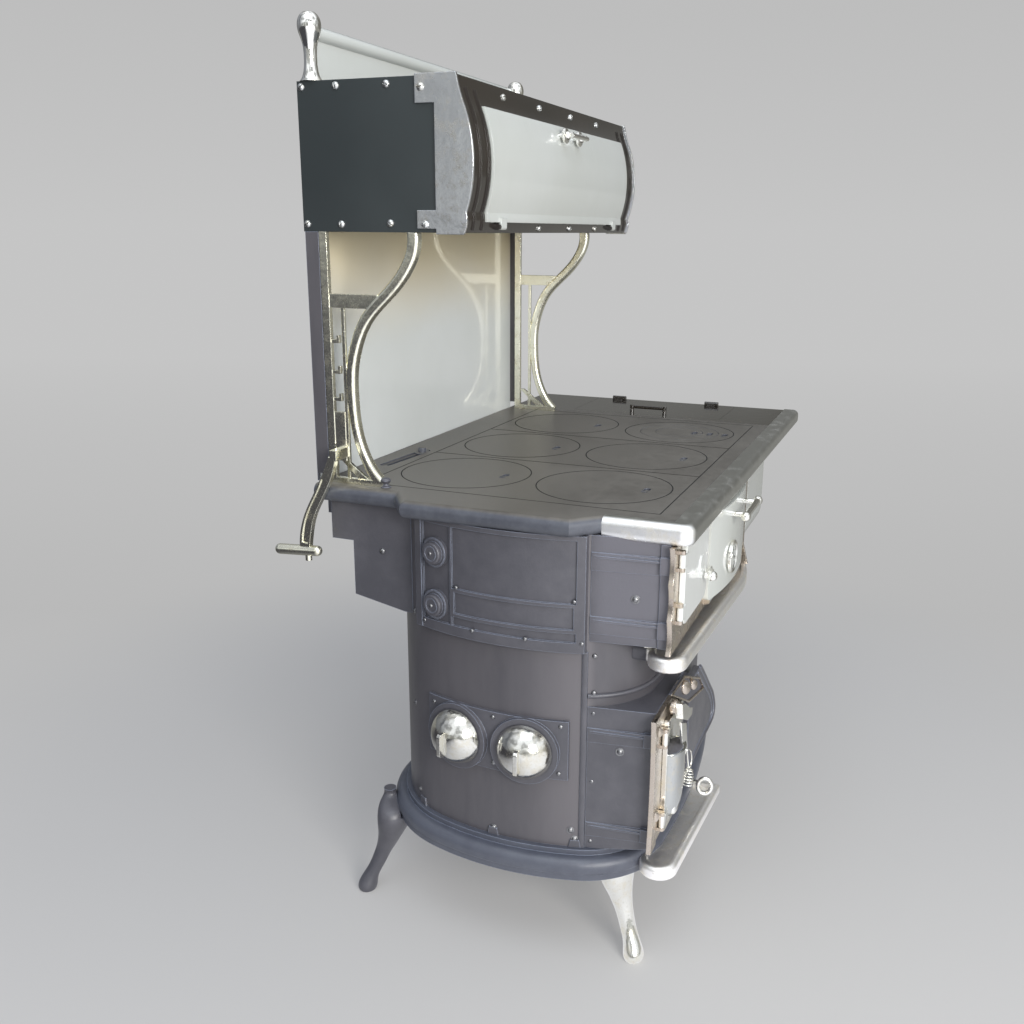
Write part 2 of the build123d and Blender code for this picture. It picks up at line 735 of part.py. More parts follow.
# ---------------------------------------------------------------- inside the body
def make_inside():
    """Brick liner, grate, ash pan, oven box and oven rack."""
    x0, x1 = firebox_left, firebox_right
    y0, y1 = front_y + 30, firebox_back
    z0, z1 = firebox_bottom, cooktop_under - 10
    liner = block(x0, x1, y0, y1, z0, z1)
    liner = liner - block(x0 + brick_thickness, x1 - brick_thickness, y0 - 1,
                          y1 - brick_thickness, z0 - 1, z1 + 1)
    keep("firebox_liner", liner & oval_slab(-wrap_wall, z0, z1))
    grate = block(x0, x1, y0 + 30, y1, z0 - grate_thickness, z0)
    grate = grate & oval_slab(-wrap_wall, z0 - grate_thickness, z0)
    for i in range(9):
        y = y0 + 62 + i * 38
        grate = grate - block(x0 + 30, x1 - 30, y, y + 16, z0 - 30, z0 + 5)
    keep("grate", grate)
    px0, px1, py0, py1 = -500, firebox_right, -286, firebox_back - 10
    wall = sheet_thickness
    pan = block(px0, px1, py0, py1, skirt_top, skirt_top + pan_depth)
    pan = pan & oval_slab(-wrap_wall - 2, skirt_top, skirt_top + pan_depth)
    room = block(px0 + wall, px1 - wall, py0 + wall, py1 - wall, skirt_top + wall,
                 skirt_top + pan_depth + 5)
    room = room & oval_slab(-wrap_wall - 2 - wall, skirt_top + wall, skirt_top + pan_depth + 5)
    keep("ash_pan", pan - room)
    ox0, ox1 = oven_left + 6, oven_right - 6
    oz0, oz1 = oven_bottom + 4, oven_top - 4
    oy0, oy1 = front_y + casting_wall, oven_back
    oven = block(ox0, ox1, oy0, oy1, oz0, oz1)
    oven = oven - block(ox0 + wall, ox1 - wall, oy0 - 1, oy1 - wall, oz0 + wall, oz1 - wall)
    rack_z = oz0 + rack_height
    runner = 8
    for x in (ox0 + wall, ox1 - wall - runner):
        oven = oven + block(x, x + runner, oy0 + 20, oy1 - 20, rack_z - 4, rack_z)
    keep("oven_box", oven)
    rack = block(ox0 + 4, ox1 - 4, oy0 + 22, oy0 + 28, rack_z, rack_z + 6)
    rack = rack + block(ox0 + 4, ox1 - 4, oy1 - 34, oy1 - 28, rack_z, rack_z + 6)
    for i in range(rack_bars):
        x = ox0 + 10 + i * (ox1 - ox0 - 20) / (rack_bars - 1)
        rack = rack + block(x - 2, x + 2, oy0 + 24, oy1 - 30, rack_z + 1, rack_z + 5)
    keep("oven_rack", rack)


# ---------------------------------------------------------------- cooktop
def damper_place():
    return Pos(damper_x, damper_y, cooktop_top) * Rot(0, 0, damper_turn)


def make_cooktop():
    """Cooktop frame, its three key plates and the six lids."""
    bulge = edge_left - bulge_reach
    corner_x = edge_left + 12
    trim_end = seam_y - 14
    outline = [
        (edge_left, edge_back), (edge_left, 140), (bulge, 104), (bulge, -193),
        (edge_left - 26, -214), (edge_left - 8, trim_end), (corner_x, trim_end),
        (corner_x, edge_front), (edge_right, edge_front), (edge_right, edge_back),
    ]
    top = slab(outline, cooktop_under, cooktop_top)
    rolled = [e for e in top.edges().filter_by(Plane.XY)
              if e.center().X < edge_left - 2 or e.center().X == edge_left]
    top = fillet(rolled, edge_roll)
    field_x0 = lid_first_x - lid_radius - 24
    field_x1 = lid_first_x + 2 * lid_spacing_x + lid_radius + 24
    field_y0 = lid_first_y - lid_radius - 20
    field_y1 = lid_first_y + lid_spacing_y + lid_radius + 14
    top = top - block(field_x0, field_x1, field_y0, field_y1, cooktop_top - plate_thickness,
                      cooktop_top + 1)
    top = top - block(field_x0 + ledge, field_x1 - ledge, field_y0 + ledge, field_y1 - ledge,
                      cooktop_under - 1, cooktop_top)
    groove = Pos(0, 0, -3) * extrude(SlotOverall(damper_travel + 44, groove_width), 10)
    slot = Pos(0, 0, -cooktop_depth - 1) * extrude(SlotOverall(damper_travel + slot_width + 2,
                                                               slot_width), 40)
    top = top - damper_place() * groove - damper_place() * slot
    keep("cooktop", top)

    seams = [field_x0, lid_first_x + lid_spacing_x / 2, lid_first_x + 1.5 * lid_spacing_x,
             field_x1]
    names = ["key_plate_left", "key_plate_middle", "key_plate_right"]
    for i in range(3):
        x = lid_first_x + i * lid_spacing_x
        plate = block(seams[i] + plate_seam, seams[i + 1] - plate_seam, field_y0 + plate_seam,
                      field_y1 - plate_seam, cooktop_top - plate_thickness, cooktop_top)
        for j in range(2):
            y = lid_first_y + j * lid_spacing_y
            plate = plate - Pos(x, y, cooktop_top) * Cylinder(lid_radius + lid_seam,
                                                              2 * lid_thickness)
            plate = plate - Pos(x, y, cooktop_top) * Cylinder(lid_radius - 9, 80)
        keep(names[i], plate)
    place_names = ["left", "middle", "right"]
    for i in range(3):
        for j in range(2):
            x = lid_first_x + i * lid_spacing_x
            y = lid_first_y + j * lid_spacing_y
            row = "front" if j == 0 else "rear"
            shape = ring_lid() if (i == 2 and j == 0) else plain_lid(lid_radius)
            keep("lid_%s_%s" % (row, place_names[i]), Pos(x, y, cooktop_top) * shape)


def lid_disc(radius):
    """Stove lid with its step; its top face lies at Z = 0."""
    disc = Pos(0, 0, -lid_thickness) * extrude(Circle(radius), lid_thickness)
    boss = Pos(0, 0, -lid_thickness - 7) * extrude(Circle(radius - 10), 7)
    return disc + boss


def lifter_pocket(offset_y):
    """Pocket for the lid lifter, with the bar that it hooks under."""
    bar = Pos(0, 0, -1) * Box(5, 14, 5)
    return Pos(0, offset_y, -3.5) * (extrude(SlotOverall(32, 12), 6) - bar)


def plain_lid(radius):
    return lid_disc(radius) - lifter_pocket(-76)


def ring_lid():
    """Lid in three nested rings, each resting on the ledge of the one round it."""
    rings = None
    radii = [lid_radius, lid_radius - 33, lid_radius - 67]
    for i, radius in enumerate(radii):
        step = lid_thickness / 2
        top = 0 if i == 0 else -ring_rest
        ring = Pos(0, 0, -lid_thickness) * extrude(Circle(radius), lid_thickness + top)
        if i == 0:
            ring = ring + Pos(0, 0, -lid_thickness - 7) * extrude(Circle(radius - 10), 7)
        else:
            ring = ring - Pos(0, 0, -lid_thickness) * extrude(
                Circle(radius + 1) - Circle(radius - ledge), step + ring_rest)
        if i + 1 < len(radii):
            hole = radii[i + 1] + lid_seam
            ring = ring - Pos(0, 0, -step) * extrude(Circle(hole), step)
            ring = ring - Pos(0, 0, -40) * extrude(Circle(hole - ledge), 80)
        ring = ring - lifter_pocket(-(radius - 17))
        rings = ring if rings is None else rings + ring
    return rings


def make_trim():
    """Nickel roll along the front of the top, wrapped round its left corner."""
    left = edge_left - 7
    outline = [
        (left, seam_y - 14), (edge_left + 12, seam_y - 14), (edge_left + 12, edge_front),
        (reservoir_right, edge_front), (reservoir_right, trim_front), (left, trim_front),
    ]
    face = make_face(Polyline(*outline, close=True))
    corner = [v for v in face.vertices() if v.X < left + 1 and v.Y < trim_front + 1]
    face = fillet(corner, 22)
    trim = Pos(0, 0, cooktop_under - trim_drop) * extrude(face, cooktop_depth + trim_drop)
    outer = [e for e in trim.edges().filter_by(Plane.XY)
             if e.center().Y < trim_front + 12 or e.center().X < left + 8]
    trim = fillet(outer, edge_roll)
    under = block(left + 10, reservoir_right + 1, trim_front + 10, 0, 0, cooktop_under)
    body = oval_slab(0, 0, cooktop_under) + slab(front_box_plan(front_y, front_right), 0,
                                                  cooktop_under)
    keep("cooktop_trim", trim - under - body)


def make_damper():
    """Sliding flue damper: its washer runs in the groove, its stem in the slot."""
    place = damper_place() * Pos(damper_travel / 2, 0, 0)
    washer = Pos(0, 0, -2.6) * extrude(SlotOverall(36, groove_width - 1), 2.6)
    stem = Pos(0, 0, -16) * extrude(Circle(slot_width / 2 - 0.4), 16)
    knob = extrude(Circle(8), 10)
    knob = fillet(knob.edges().group_by(Axis.Z)[-1], 3)
    keep("damper_slide", place * (washer + stem + knob))


# ---------------------------------------------------------------- reservoir
def make_reservoir():
    """Reservoir top, its hinged lid, the enamelled jacket and the tank inside it."""
    x0 = edge_right
    x1 = reservoir_right
    lid_x0, lid_x1 = x0 + 24, x1 - 30
    lid_y0, lid_y1 = water_lid_front, water_lid_back
    hinge_spots = (lid_y0 + 60, lid_y1 - 60)
    top = block(x0, x1, edge_front, edge_back, cooktop_under, cooktop_top)
    right = [e for e in top.edges().filter_by(Axis.Y) if e.center().X > x1 - 1]
    top = fillet(right, edge_roll)
    recess = block(lid_x0, lid_x1, lid_y0, lid_y1, cooktop_top - water_lid_recess, cooktop_top)
    top = top - block(lid_x0 + 10, lid_x1 - 10, lid_y0 + 10, lid_y1 - 10, cooktop_under - 1,
                      cooktop_top)
    hinge_z = cooktop_top + knuckle_radius + door_gap
    for y in hinge_spots:
        top = top + pin_and_ears((lid_x1, y, hinge_z), (0, 1, 0), (0, 0, -1))
    keep("reservoir_top", top - recess)

    lid = block(lid_x0 + door_gap, lid_x1 - door_gap, lid_y0 + door_gap, lid_y1 - door_gap,
                cooktop_top - water_lid_recess + 0.4, cooktop_top)
    leaf_half = knuckle_length / 2
    ear_end = leaf_half + 0.4 + ear_length
    for y in hinge_spots:
        for side in (-1, 1):
            near, far = sorted((y + side * (leaf_half + 0.2), y + side * (ear_end + 0.8)))
            lid = lid - block(lid_x1 - lid_notch, lid_x1, near, far, cooktop_top - 10,
                              cooktop_top + 1)
        leaf = block(lid_x1 - 14, lid_x1, y - leaf_half, y + leaf_half, cooktop_top - 1,
                     cooktop_top + 4)
        leaf = leaf - block(lid_x1 - door_gap, lid_x1 + 1, y - 50, y + 50, cooktop_top - 2,
                            cooktop_top)
        lid = lid + knuckle((lid_x1, y, hinge_z), (0, 1, 0), leaf)
    lift_x = lid_x0 + 18
    lift = rod((lift_x, -90, cooktop_top + 14), (lift_x, 0, cooktop_top + 14), 4)
    for y in (-86, -4):
        lift = lift + rod((lift_x, y, cooktop_top - 3), (lift_x, y, cooktop_top + 19), 5)
    keep("reservoir_lid", lid + lift)

    jx0, jx1 = x0 + reservoir_inset, x1 - reservoir_inset
    jy0, jy1 = jacket_front, jacket_back
    section = make_face(Polyline((jy0, cooktop_under), (jy1, cooktop_under),
                                 (jy1, reservoir_floor), (jy0, reservoir_floor), close=True))
    front_low = [v for v in section.vertices()
                 if v.X < jy0 + 1 and v.Y < reservoir_floor + 1]
    section = fillet(front_low, jacket_bend)
    wall = reservoir_wall
    jacket = side_prism(section, jx0, jx1)
    inner = side_prism(offset(section, -wall), jx0 + wall, jx1 - wall)
    inner = inner + block(jx0 + wall, jx1 - wall, jy0 + wall, jy1 - wall, cooktop_under - 30,
                          cooktop_under + 1)
    keep("reservoir_jacket", jacket - inner)
    tx0, tx1 = jx0 + wall, jx1 - wall
    ty0, ty1 = jy0 + jacket_bend + 2, jy1 - 10
    floor = reservoir_floor + wall
    tank = block(tx0, tx1, ty0, ty1, floor, cooktop_under)
    tank = tank - block(tx0 + tank_wall, tx1 - tank_wall, ty0 + tank_wall, ty1 - tank_wall,
                        floor + tank_wall, cooktop_under + 1)
    keep("reservoir_tank", tank)


# ---------------------------------------------------------------- rear
def make_rear():
    """Smoke casing behind the body, the flue box on its back and the pipe collar."""
    x0, x1 = rear_left, rear_right
    wall = rear_wall
    start = 60
    bend = 140
    profile = make_face(Polyline((start, cooktop_under), (rear_depth, cooktop_under),
                                 (rear_depth, rear_step), (rear_waist, rear_step),
                                 (rear_waist, rear_floor + 20), (bend, rear_floor),
                                 (start, rear_floor), close=True))
    case = side_prism(profile, x0, x1)
    inner = make_face(Polyline((start, cooktop_under + 1), (rear_depth - wall, cooktop_under + 1),
                               (rear_depth - wall, rear_step + wall),
                               (rear_waist - wall, rear_step + wall),
                               (rear_waist - wall, rear_floor + 20 + wall),
                               (bend, rear_floor + wall), (start, rear_floor + wall),
                               close=True))
    case = case - side_prism(inner, x0 + wall, x1 - wall)
    fx0, fx1 = flue_x - flue_box_half, flue_x + flue_box_half
    fz0, fz1 = rear_step - 60, cooktop_under
    flue_back = flue_y + collar_radius + flue_box_margin
    flue = block(fx0, fx1, rear_depth, flue_back, fz0, fz1)
    flue = flue - block(fx0 + wall, fx1 - wall, rear_depth - wall - 1, flue_back - wall,
                        fz0 + wall, fz1 - wall)
    flue = flue - Pos(flue_x, flue_y, fz1) * Cylinder(collar_radius + flue_hole_gap, 40)
    case = case - block(fx0 + wall, fx1 - wall, rear_depth - 10, rear_depth + 10,
                        rear_step + wall, cooktop_under - wall)
    core = Pos(0, 0, rear_floor - 5) * extrude(oval(0), cooktop_under)
    keep("rear_casing", case + flue - core)
    ring = extrude(Circle(collar_radius + collar_wall), collar_height)
    ring = ring + extrude(Circle(collar_radius + 18), 5)
    ring = ring - Pos(0, 0, -1) * extrude(Circle(collar_radius), collar_height + 2)
    keep("flue_collar", Pos(flue_x, flue_y, fz1) * ring)


# ---------------------------------------------------------------- backsplash and brackets
def make_splash():
    """White panel over the cooktop and the steel sheet behind it."""
    x0, x1 = closet_left, closet_right - 5
    panel = block(x0 + 4, x1 - 4, splash_y, splash_y + splash_thickness, cooktop_top,
                  closet_bottom)
    keep("splash_panel", panel)
    back = block(x0, x1, splash_y + splash_thickness, splash_y + splash_thickness + 3,
                 cooktop_top, closet_bottom)
    for x in (x0, x1 - 4):
        back = back + block(x, x + 4, splash_y - 18, splash_y + splash_thickness + 3,
                            cooktop_top + 14, closet_bottom)
    keep("splash_back", back)


def bracket(x, hooks):
    """S-shaped closet bracket with its back bar, tie and hooks."""
    foot = cooktop_top
    top = closet_bottom
    curve = [(184, foot + 4), (208, 837), (228, 893), (234, 948), (234, 991), (223, 1042),
             (202, 1085), (160, 1128), (126, 1167), (112, 1196), (110, top)]
    widths = [20, 17, 16, 17, 18, 19, 20, 20, 20, 21, 22]
    t = bracket_thickness
    solid = side_prism(ribbon(curve, widths), x, x + t)
    long_edges = [e for e in solid.edges() if e.length > 200]
    solid = fillet(long_edges, bracket_rounding)
    solid = solid & block(x - 1, x + t + 1, 0, 400, foot, top)
    post_y = bracket_post_y
    front_y0 = post_y - 92
    brace = make_face(Polyline((post_y, foot + 50), (post_y - 10, foot + 50), (192, foot),
                               (214, foot), close=True))
    solid = solid + side_prism(brace, x + 2, x + 8)
    post = block(x, x + 9, post_y, post_y + 14, foot, top)
    tie = block(x + 1, x + 8, front_y0, post_y + 2, bracket_tie_z, bracket_tie_z + 23)
    base = block(x, x + 9, front_y0, post_y + 14, foot, foot + 10)
    stay = block(x + 2, x + 7, 241, 247, foot + 6, bracket_tie_z + 1)
    solid = solid + post + tie + base + stay
    if hooks:
        for z in hook_heights:
            solid = solid + block(x + 1, x + 8, post_y - 16, post_y + 2, z - 6, z)
            solid = solid + block(x + 1, x + 8, post_y - 16, post_y - 11, z - 6, z + 7)
        solid = solid + block(x + 1, x + 8, post_y - 21, post_y, foot + 40, foot + 126)
    return solid


def make_brackets():
    """Both closet brackets; the left one carries the arm with the tee at its end."""
    left = bracket(bracket_x, True)
    arm_x = edge_left - 14
    arm = ribbon([(252, 852), (270, 807), (286, 778), (303, 745), (312, 715), (316, 686)],
                 [14, 18, 18, 19, 21, 20])
    groove = ribbon([(270, 812), (286, 778), (303, 745), (312, 715), (315, 694)],
                    [9, 10, 11, 12, 12])
    arm = side_prism(arm, arm_x, arm_x + 11) - side_prism(groove, arm_x - 1, arm_x + 2.5)
    tee_x = arm_x + 5.5
    tee = rod((tee_x, 294, 680), (tee_x, 371, 675), 9.5)
    tee = tee + Pos(tee_x, 294, 680) * Sphere(9.5) + Pos(tee_x, 371, 675) * Sphere(9.5)
    tee = tee + rod((tee_x, 312, 661), (tee_x, 312, 676), 6)
    link = block(arm_x, bracket_x + 2, 243, 256, 848, 866)
    keep("bracket_left", left + arm + tee + link)
    right = Pos(closet_right - 5 - bracket_thickness - bracket_x, 0, 0) * bracket(bracket_x, False)
    keep("bracket_right", right)


# ---------------------------------------------------------------- warming closet
def closet_profile():
    """Side view of the closet: flat back, top and floor, and an S-curved front."""
    z0 = closet_bottom
    waist = (12, z0 + 32)
    neck = (12, z0 + 182)
    face = make_face([
        ThreePointArc((16, z0), (11, z0 + 16), waist),
        ThreePointArc(waist, (-1, z0 + 107), neck),
        ThreePointArc(neck, (21, z0 + 207), (27, closet_top)),
        Line((27, closet_top), (closet_back, closet_top)),
        Line((closet_back, closet_top), (closet_back, z0)),
        Line((closet_back, z0), (16, z0)),
    ])
    return face


def make_closet():
    """Closet shell, front, door, handle, end castings, gallery and finials."""
    profile = closet_profile()
    outer = side_prism(profile, closet_left, closet_right)
    inner = side_prism(offset(profile, -closet_wall), closet_left + closet_wall,
                       closet_right - closet_wall)
    shell = outer - inner
    front_zone = block(closet_left + closet_wall, closet_right - closet_wall, -50, 34,
                       closet_bottom - 1, closet_top + 1)
    mouth = block(closet_door_left + 10, closet_door_right - 10, -50, 40, closet_bottom + 24,
                  closet_top - 46)
    keep("closet_shell", shell - front_zone)
    front = (shell & front_zone) - mouth
    ridge_band = offset(profile, 3.0) - offset(profile, -1.0)
    for x in (closet_left + 24, closet_door_left - 10, closet_door_right + 6, closet_right - 28):
        ridge = side_prism(ridge_band, x, x + 4) & block(x, x + 4, -60, 24, closet_bottom + 4,
                                                         closet_top - 16)
        front = front + ridge
    hinge_spots = (closet_door_left + 60, closet_door_right - 60)
    for x in hinge_spots:
        front = front + pin_and_ears((x, closet_hinge_y, closet_hinge_z), (1, 0, 0), (0, 1, 0))
    keep("closet_front", front)
    band = offset(profile, 6.0) - offset(profile, 0.6)
    door = side_prism(band, closet_door_left, closet_door_right)
    door = door & block(closet_door_left, closet_door_right, -60, 24, closet_bottom + 17,
                        closet_top - 40)
    for x in hinge_spots:
        leaf = block(x - knuckle_length / 2, x + knuckle_length / 2,
                     closet_hinge_y - knuckle_radius, closet_hinge_y - 1, closet_hinge_z,
                     closet_bottom + 24)
        door = door + knuckle((x, closet_hinge_y, closet_hinge_z), (1, 0, 0), leaf)
    keep("closet_door", door)
    handle_x = (closet_door_left + closet_door_right) / 2
    handle_z = closet_top - 58
    posts = rod((handle_x - 38, 10, handle_z), (handle_x - 38, -22, handle_z), 5)
    posts = posts + rod((handle_x + 38, 10, handle_z), (handle_x + 38, -22, handle_z), 5)
    bail = rod((handle_x - 44, -22, handle_z), (handle_x + 44, -22, handle_z), 4)
    door_bulk = side_prism(offset(profile, 6.0), closet_door_left, closet_door_right)
    keep("closet_handle", posts + bail - door_bulk)
    caps = []
    for x in (closet_left - corner_thickness - corner_gap, closet_right + corner_gap):
        grown = offset(profile, 2.5)
        zone = block(x, x + corner_thickness, -60, 62, closet_bottom - 3, closet_top + 3)
        zone = zone + block(x, x + corner_thickness, 60, 95, closet_bottom + 6, closet_bottom + 34)
        zone = zone + block(x, x + corner_thickness, 60, 95, closet_top - 40, closet_top + 3)
        caps.append(side_prism(grown, x, x + corner_thickness) & zone)
    keep("closet_corners", caps[0] + caps[1])
    gallery = block(closet_left + 14, closet_right - 14, 294, 298, closet_top,
                    closet_top + gallery_height - 12)
    roll = rod((closet_left + 14, 298, closet_top + gallery_height - 12),
               (closet_right - 14, 298, closet_top + gallery_height - 12), 12)
    gallery = gallery + roll
    keep("gallery", gallery)
    posts = [finial(closet_left + 10) - gallery, finial(closet_right - 10) - gallery]
    keep("finials", posts[0] + posts[1])


def finial(x):
    """Nickel post with a round head at one end of the gallery."""
    points = [(0, 0), (19, 0), (14, 8), (11, 22), (10.5, 42), (12.5, 58), (17, 71), (19, 83),
              (16, 95), (9, 102), (0, 104)]
    outline = [Spline(*points[1:-1]), Line(points[0], points[1]), Line(points[-2], points[-1]),
               Line(points[-1], points[0])]
    face = make_face(outline)
    solid = revolve(Plane.XZ * face, Axis.Z)
    return Pos(x, 288, closet_top) * solid


# ---------------------------------------------------------------- legs
def leg(sx, sy, x, y, lug_x, lug_y):
    """Cabriole leg that sweeps out and down from the skirt; its lug laps the skirt's side."""
    levels = [(skirt_top - 6, lug_x, lug_y, 12, 12),
              (skirt_bottom + 22, 0.65 * lug_x, 0.65 * lug_y, 24, 20),
              (skirt_bottom, 4, 0, 41, 31), (138, 5, 2, 39, 29), (114, 9, 8, 28, 23),
              (90, 14, 16, 19, 18), (64, 21, 26, 15, 15), (40, 29, 36, 14.5, 14.5),
              (20, foot_sweep_x - 2, foot_sweep_y - 2, 18, 17),
              (8, foot_sweep_x, foot_sweep_y, 20, 18), (0, foot_sweep_x, foot_sweep_y, 17, 15)]
    faces = []
    for z, dx, dy, rx, ry in levels:
        faces.append(Pos(x + sx * dx, y + sy * dy, z) * Ellipse(rx, ry))
    return loft(faces) - oval_slab(skirt_reach, skirt_bottom, cooktop_under)


foot_sweep_x = 38.0
foot_sweep_y = 46.0
left_leg_x = -490.0
right_leg_x = 212.0
leg_front_y = -262.0
leg_back_y = 180.0
right_leg_pull = 68.0


def leg_tops():
    """Sweep direction, top centre and lug of each leg."""
    front_right = leg_front_y + right_leg_pull
    back_right = leg_back_y - right_leg_pull
    return {
        "front_left": (-1, -1, left_leg_x, leg_front_y, 34, 6),
        "front_right": (1, -1, right_leg_x, front_right, 0, 0),
        "rear_left": (-1, 1, left_leg_x, leg_back_y, -4, 14),
        "rear_right": (1, 1, right_leg_x, back_right, 0, 0),
    }


def foot_places():
    """Where the middle of each foot stands on the floor."""
    return {name: (x + sx * foot_sweep_x, y + sy * foot_sweep_y)
            for name, (sx, sy, x, y, _, _) in leg_tops().items()}


def make_legs():
    for name, values in leg_tops().items():
        keep("leg_" + name, leg(*values))


shaker_x = -330.0
shaker_z = 252.0
shaker_rod = 4.0


def make_shaker():
    """Grate shaker pull: a ring on a rod that runs through the ash box front."""
    ring_radius = 16
    stem_y = ash_front - 40
    ring = Pos(shaker_x, stem_y, shaker_z - ring_radius) * Rot(90, 0, 90) * Torus(ring_radius, 4.5)
    stem = rod((shaker_x, stem_y, shaker_z), (shaker_x, ash_front + 60, shaker_z), shaker_rod)
    collar = rod((shaker_x, stem_y - 2, shaker_z), (shaker_x, stem_y + 8, shaker_z), 6)
    keep("shaker_ring", ring + stem + collar)


def build():
    make_base()
    make_wrap()
    make_side_panel()
    make_drafts()
    make_front()
    make_feed_door()
    make_oven_door()
    make_oven_fittings()
    make_ash_section()
    make_shelves()
    make_inside()
    make_cooktop()
    make_trim()
    make_damper()
    make_reservoir()
    make_rear()
    make_splash()
    make_brackets()
    make_closet()
    make_legs()
    make_shaker()


build()
boxes = [shape.bounding_box() for shape in parts.values()]
x_middle = (min(b.min.X for b in boxes) + max(b.max.X for b in boxes)) / 2
y_middle = (min(b.min.Y for b in boxes) + max(b.max.Y for b in boxes)) / 2
os.makedirs("parts", exist_ok=True)
for name, shape in parts.items():
    export_step(Pos(-x_middle, -y_middle, 0) * shape, "parts/%s.step" % name)
print(len(parts), "pieces, moved by", -x_middle, -y_middle)
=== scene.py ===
import math

import bmesh
import bpy
from mathutils import Matrix, Vector


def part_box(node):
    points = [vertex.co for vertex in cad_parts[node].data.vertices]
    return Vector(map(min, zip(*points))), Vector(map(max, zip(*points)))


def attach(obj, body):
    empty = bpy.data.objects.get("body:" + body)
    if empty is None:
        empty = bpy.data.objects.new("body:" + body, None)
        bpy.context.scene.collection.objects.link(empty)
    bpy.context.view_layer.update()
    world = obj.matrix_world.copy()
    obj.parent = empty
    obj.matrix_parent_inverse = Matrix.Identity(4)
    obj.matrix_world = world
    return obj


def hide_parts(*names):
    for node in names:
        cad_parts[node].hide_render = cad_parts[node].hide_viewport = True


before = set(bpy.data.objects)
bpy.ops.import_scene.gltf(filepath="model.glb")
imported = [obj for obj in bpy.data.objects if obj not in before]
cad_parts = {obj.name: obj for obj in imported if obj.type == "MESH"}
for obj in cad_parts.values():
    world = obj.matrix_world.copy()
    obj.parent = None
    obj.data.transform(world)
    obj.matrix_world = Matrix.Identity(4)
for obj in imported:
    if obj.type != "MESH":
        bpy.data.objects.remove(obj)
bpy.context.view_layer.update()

# Wood cookstove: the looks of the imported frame.
# Places are written in stove millimetres, as the frame's own drawing has them, and at() turns
# them into the frame's metres.

MM = 0.001
closet_low, closet_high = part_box("closet_shell")
CLOSET_SIDE = -507.0
CLOSET_BACK = 310.0
SHIFT = Vector((closet_low[0] / MM - CLOSET_SIDE, closet_high[1] / MM - CLOSET_BACK, 0.0))


def at(x, y, z):
    """A point in stove millimetres, as the frame's metres."""
    return (Vector((x, y, z)) + SHIFT) * MM


# ---------------------------------------------------------------- shader arithmetic
class Value:
    """A shader socket that Python arithmetic works on."""

    def __init__(self, finish, socket):
        self.finish = finish
        self.socket = socket

    def other(self, name):
        """Another output of the same node."""
        return Value(self.finish, self.socket.node.outputs[name])

    def math(self, operation, first, second):
        return self.finish.node("ShaderNodeMath", {"operation": operation}, {0: first, 1: second})

    def __add__(self, other):
        return self.math("ADD", self, other)

    def __radd__(self, other):
        return self.math("ADD", other, self)

    def __sub__(self, other):
        return self.math("SUBTRACT", self, other)

    def __rsub__(self, other):
        return self.math("SUBTRACT", other, self)

    def __mul__(self, other):
        return self.math("MULTIPLY", self, other)

    def __rmul__(self, other):
        return self.math("MULTIPLY", other, self)

    def __pow__(self, other):
        return self.math("POWER", self, other)


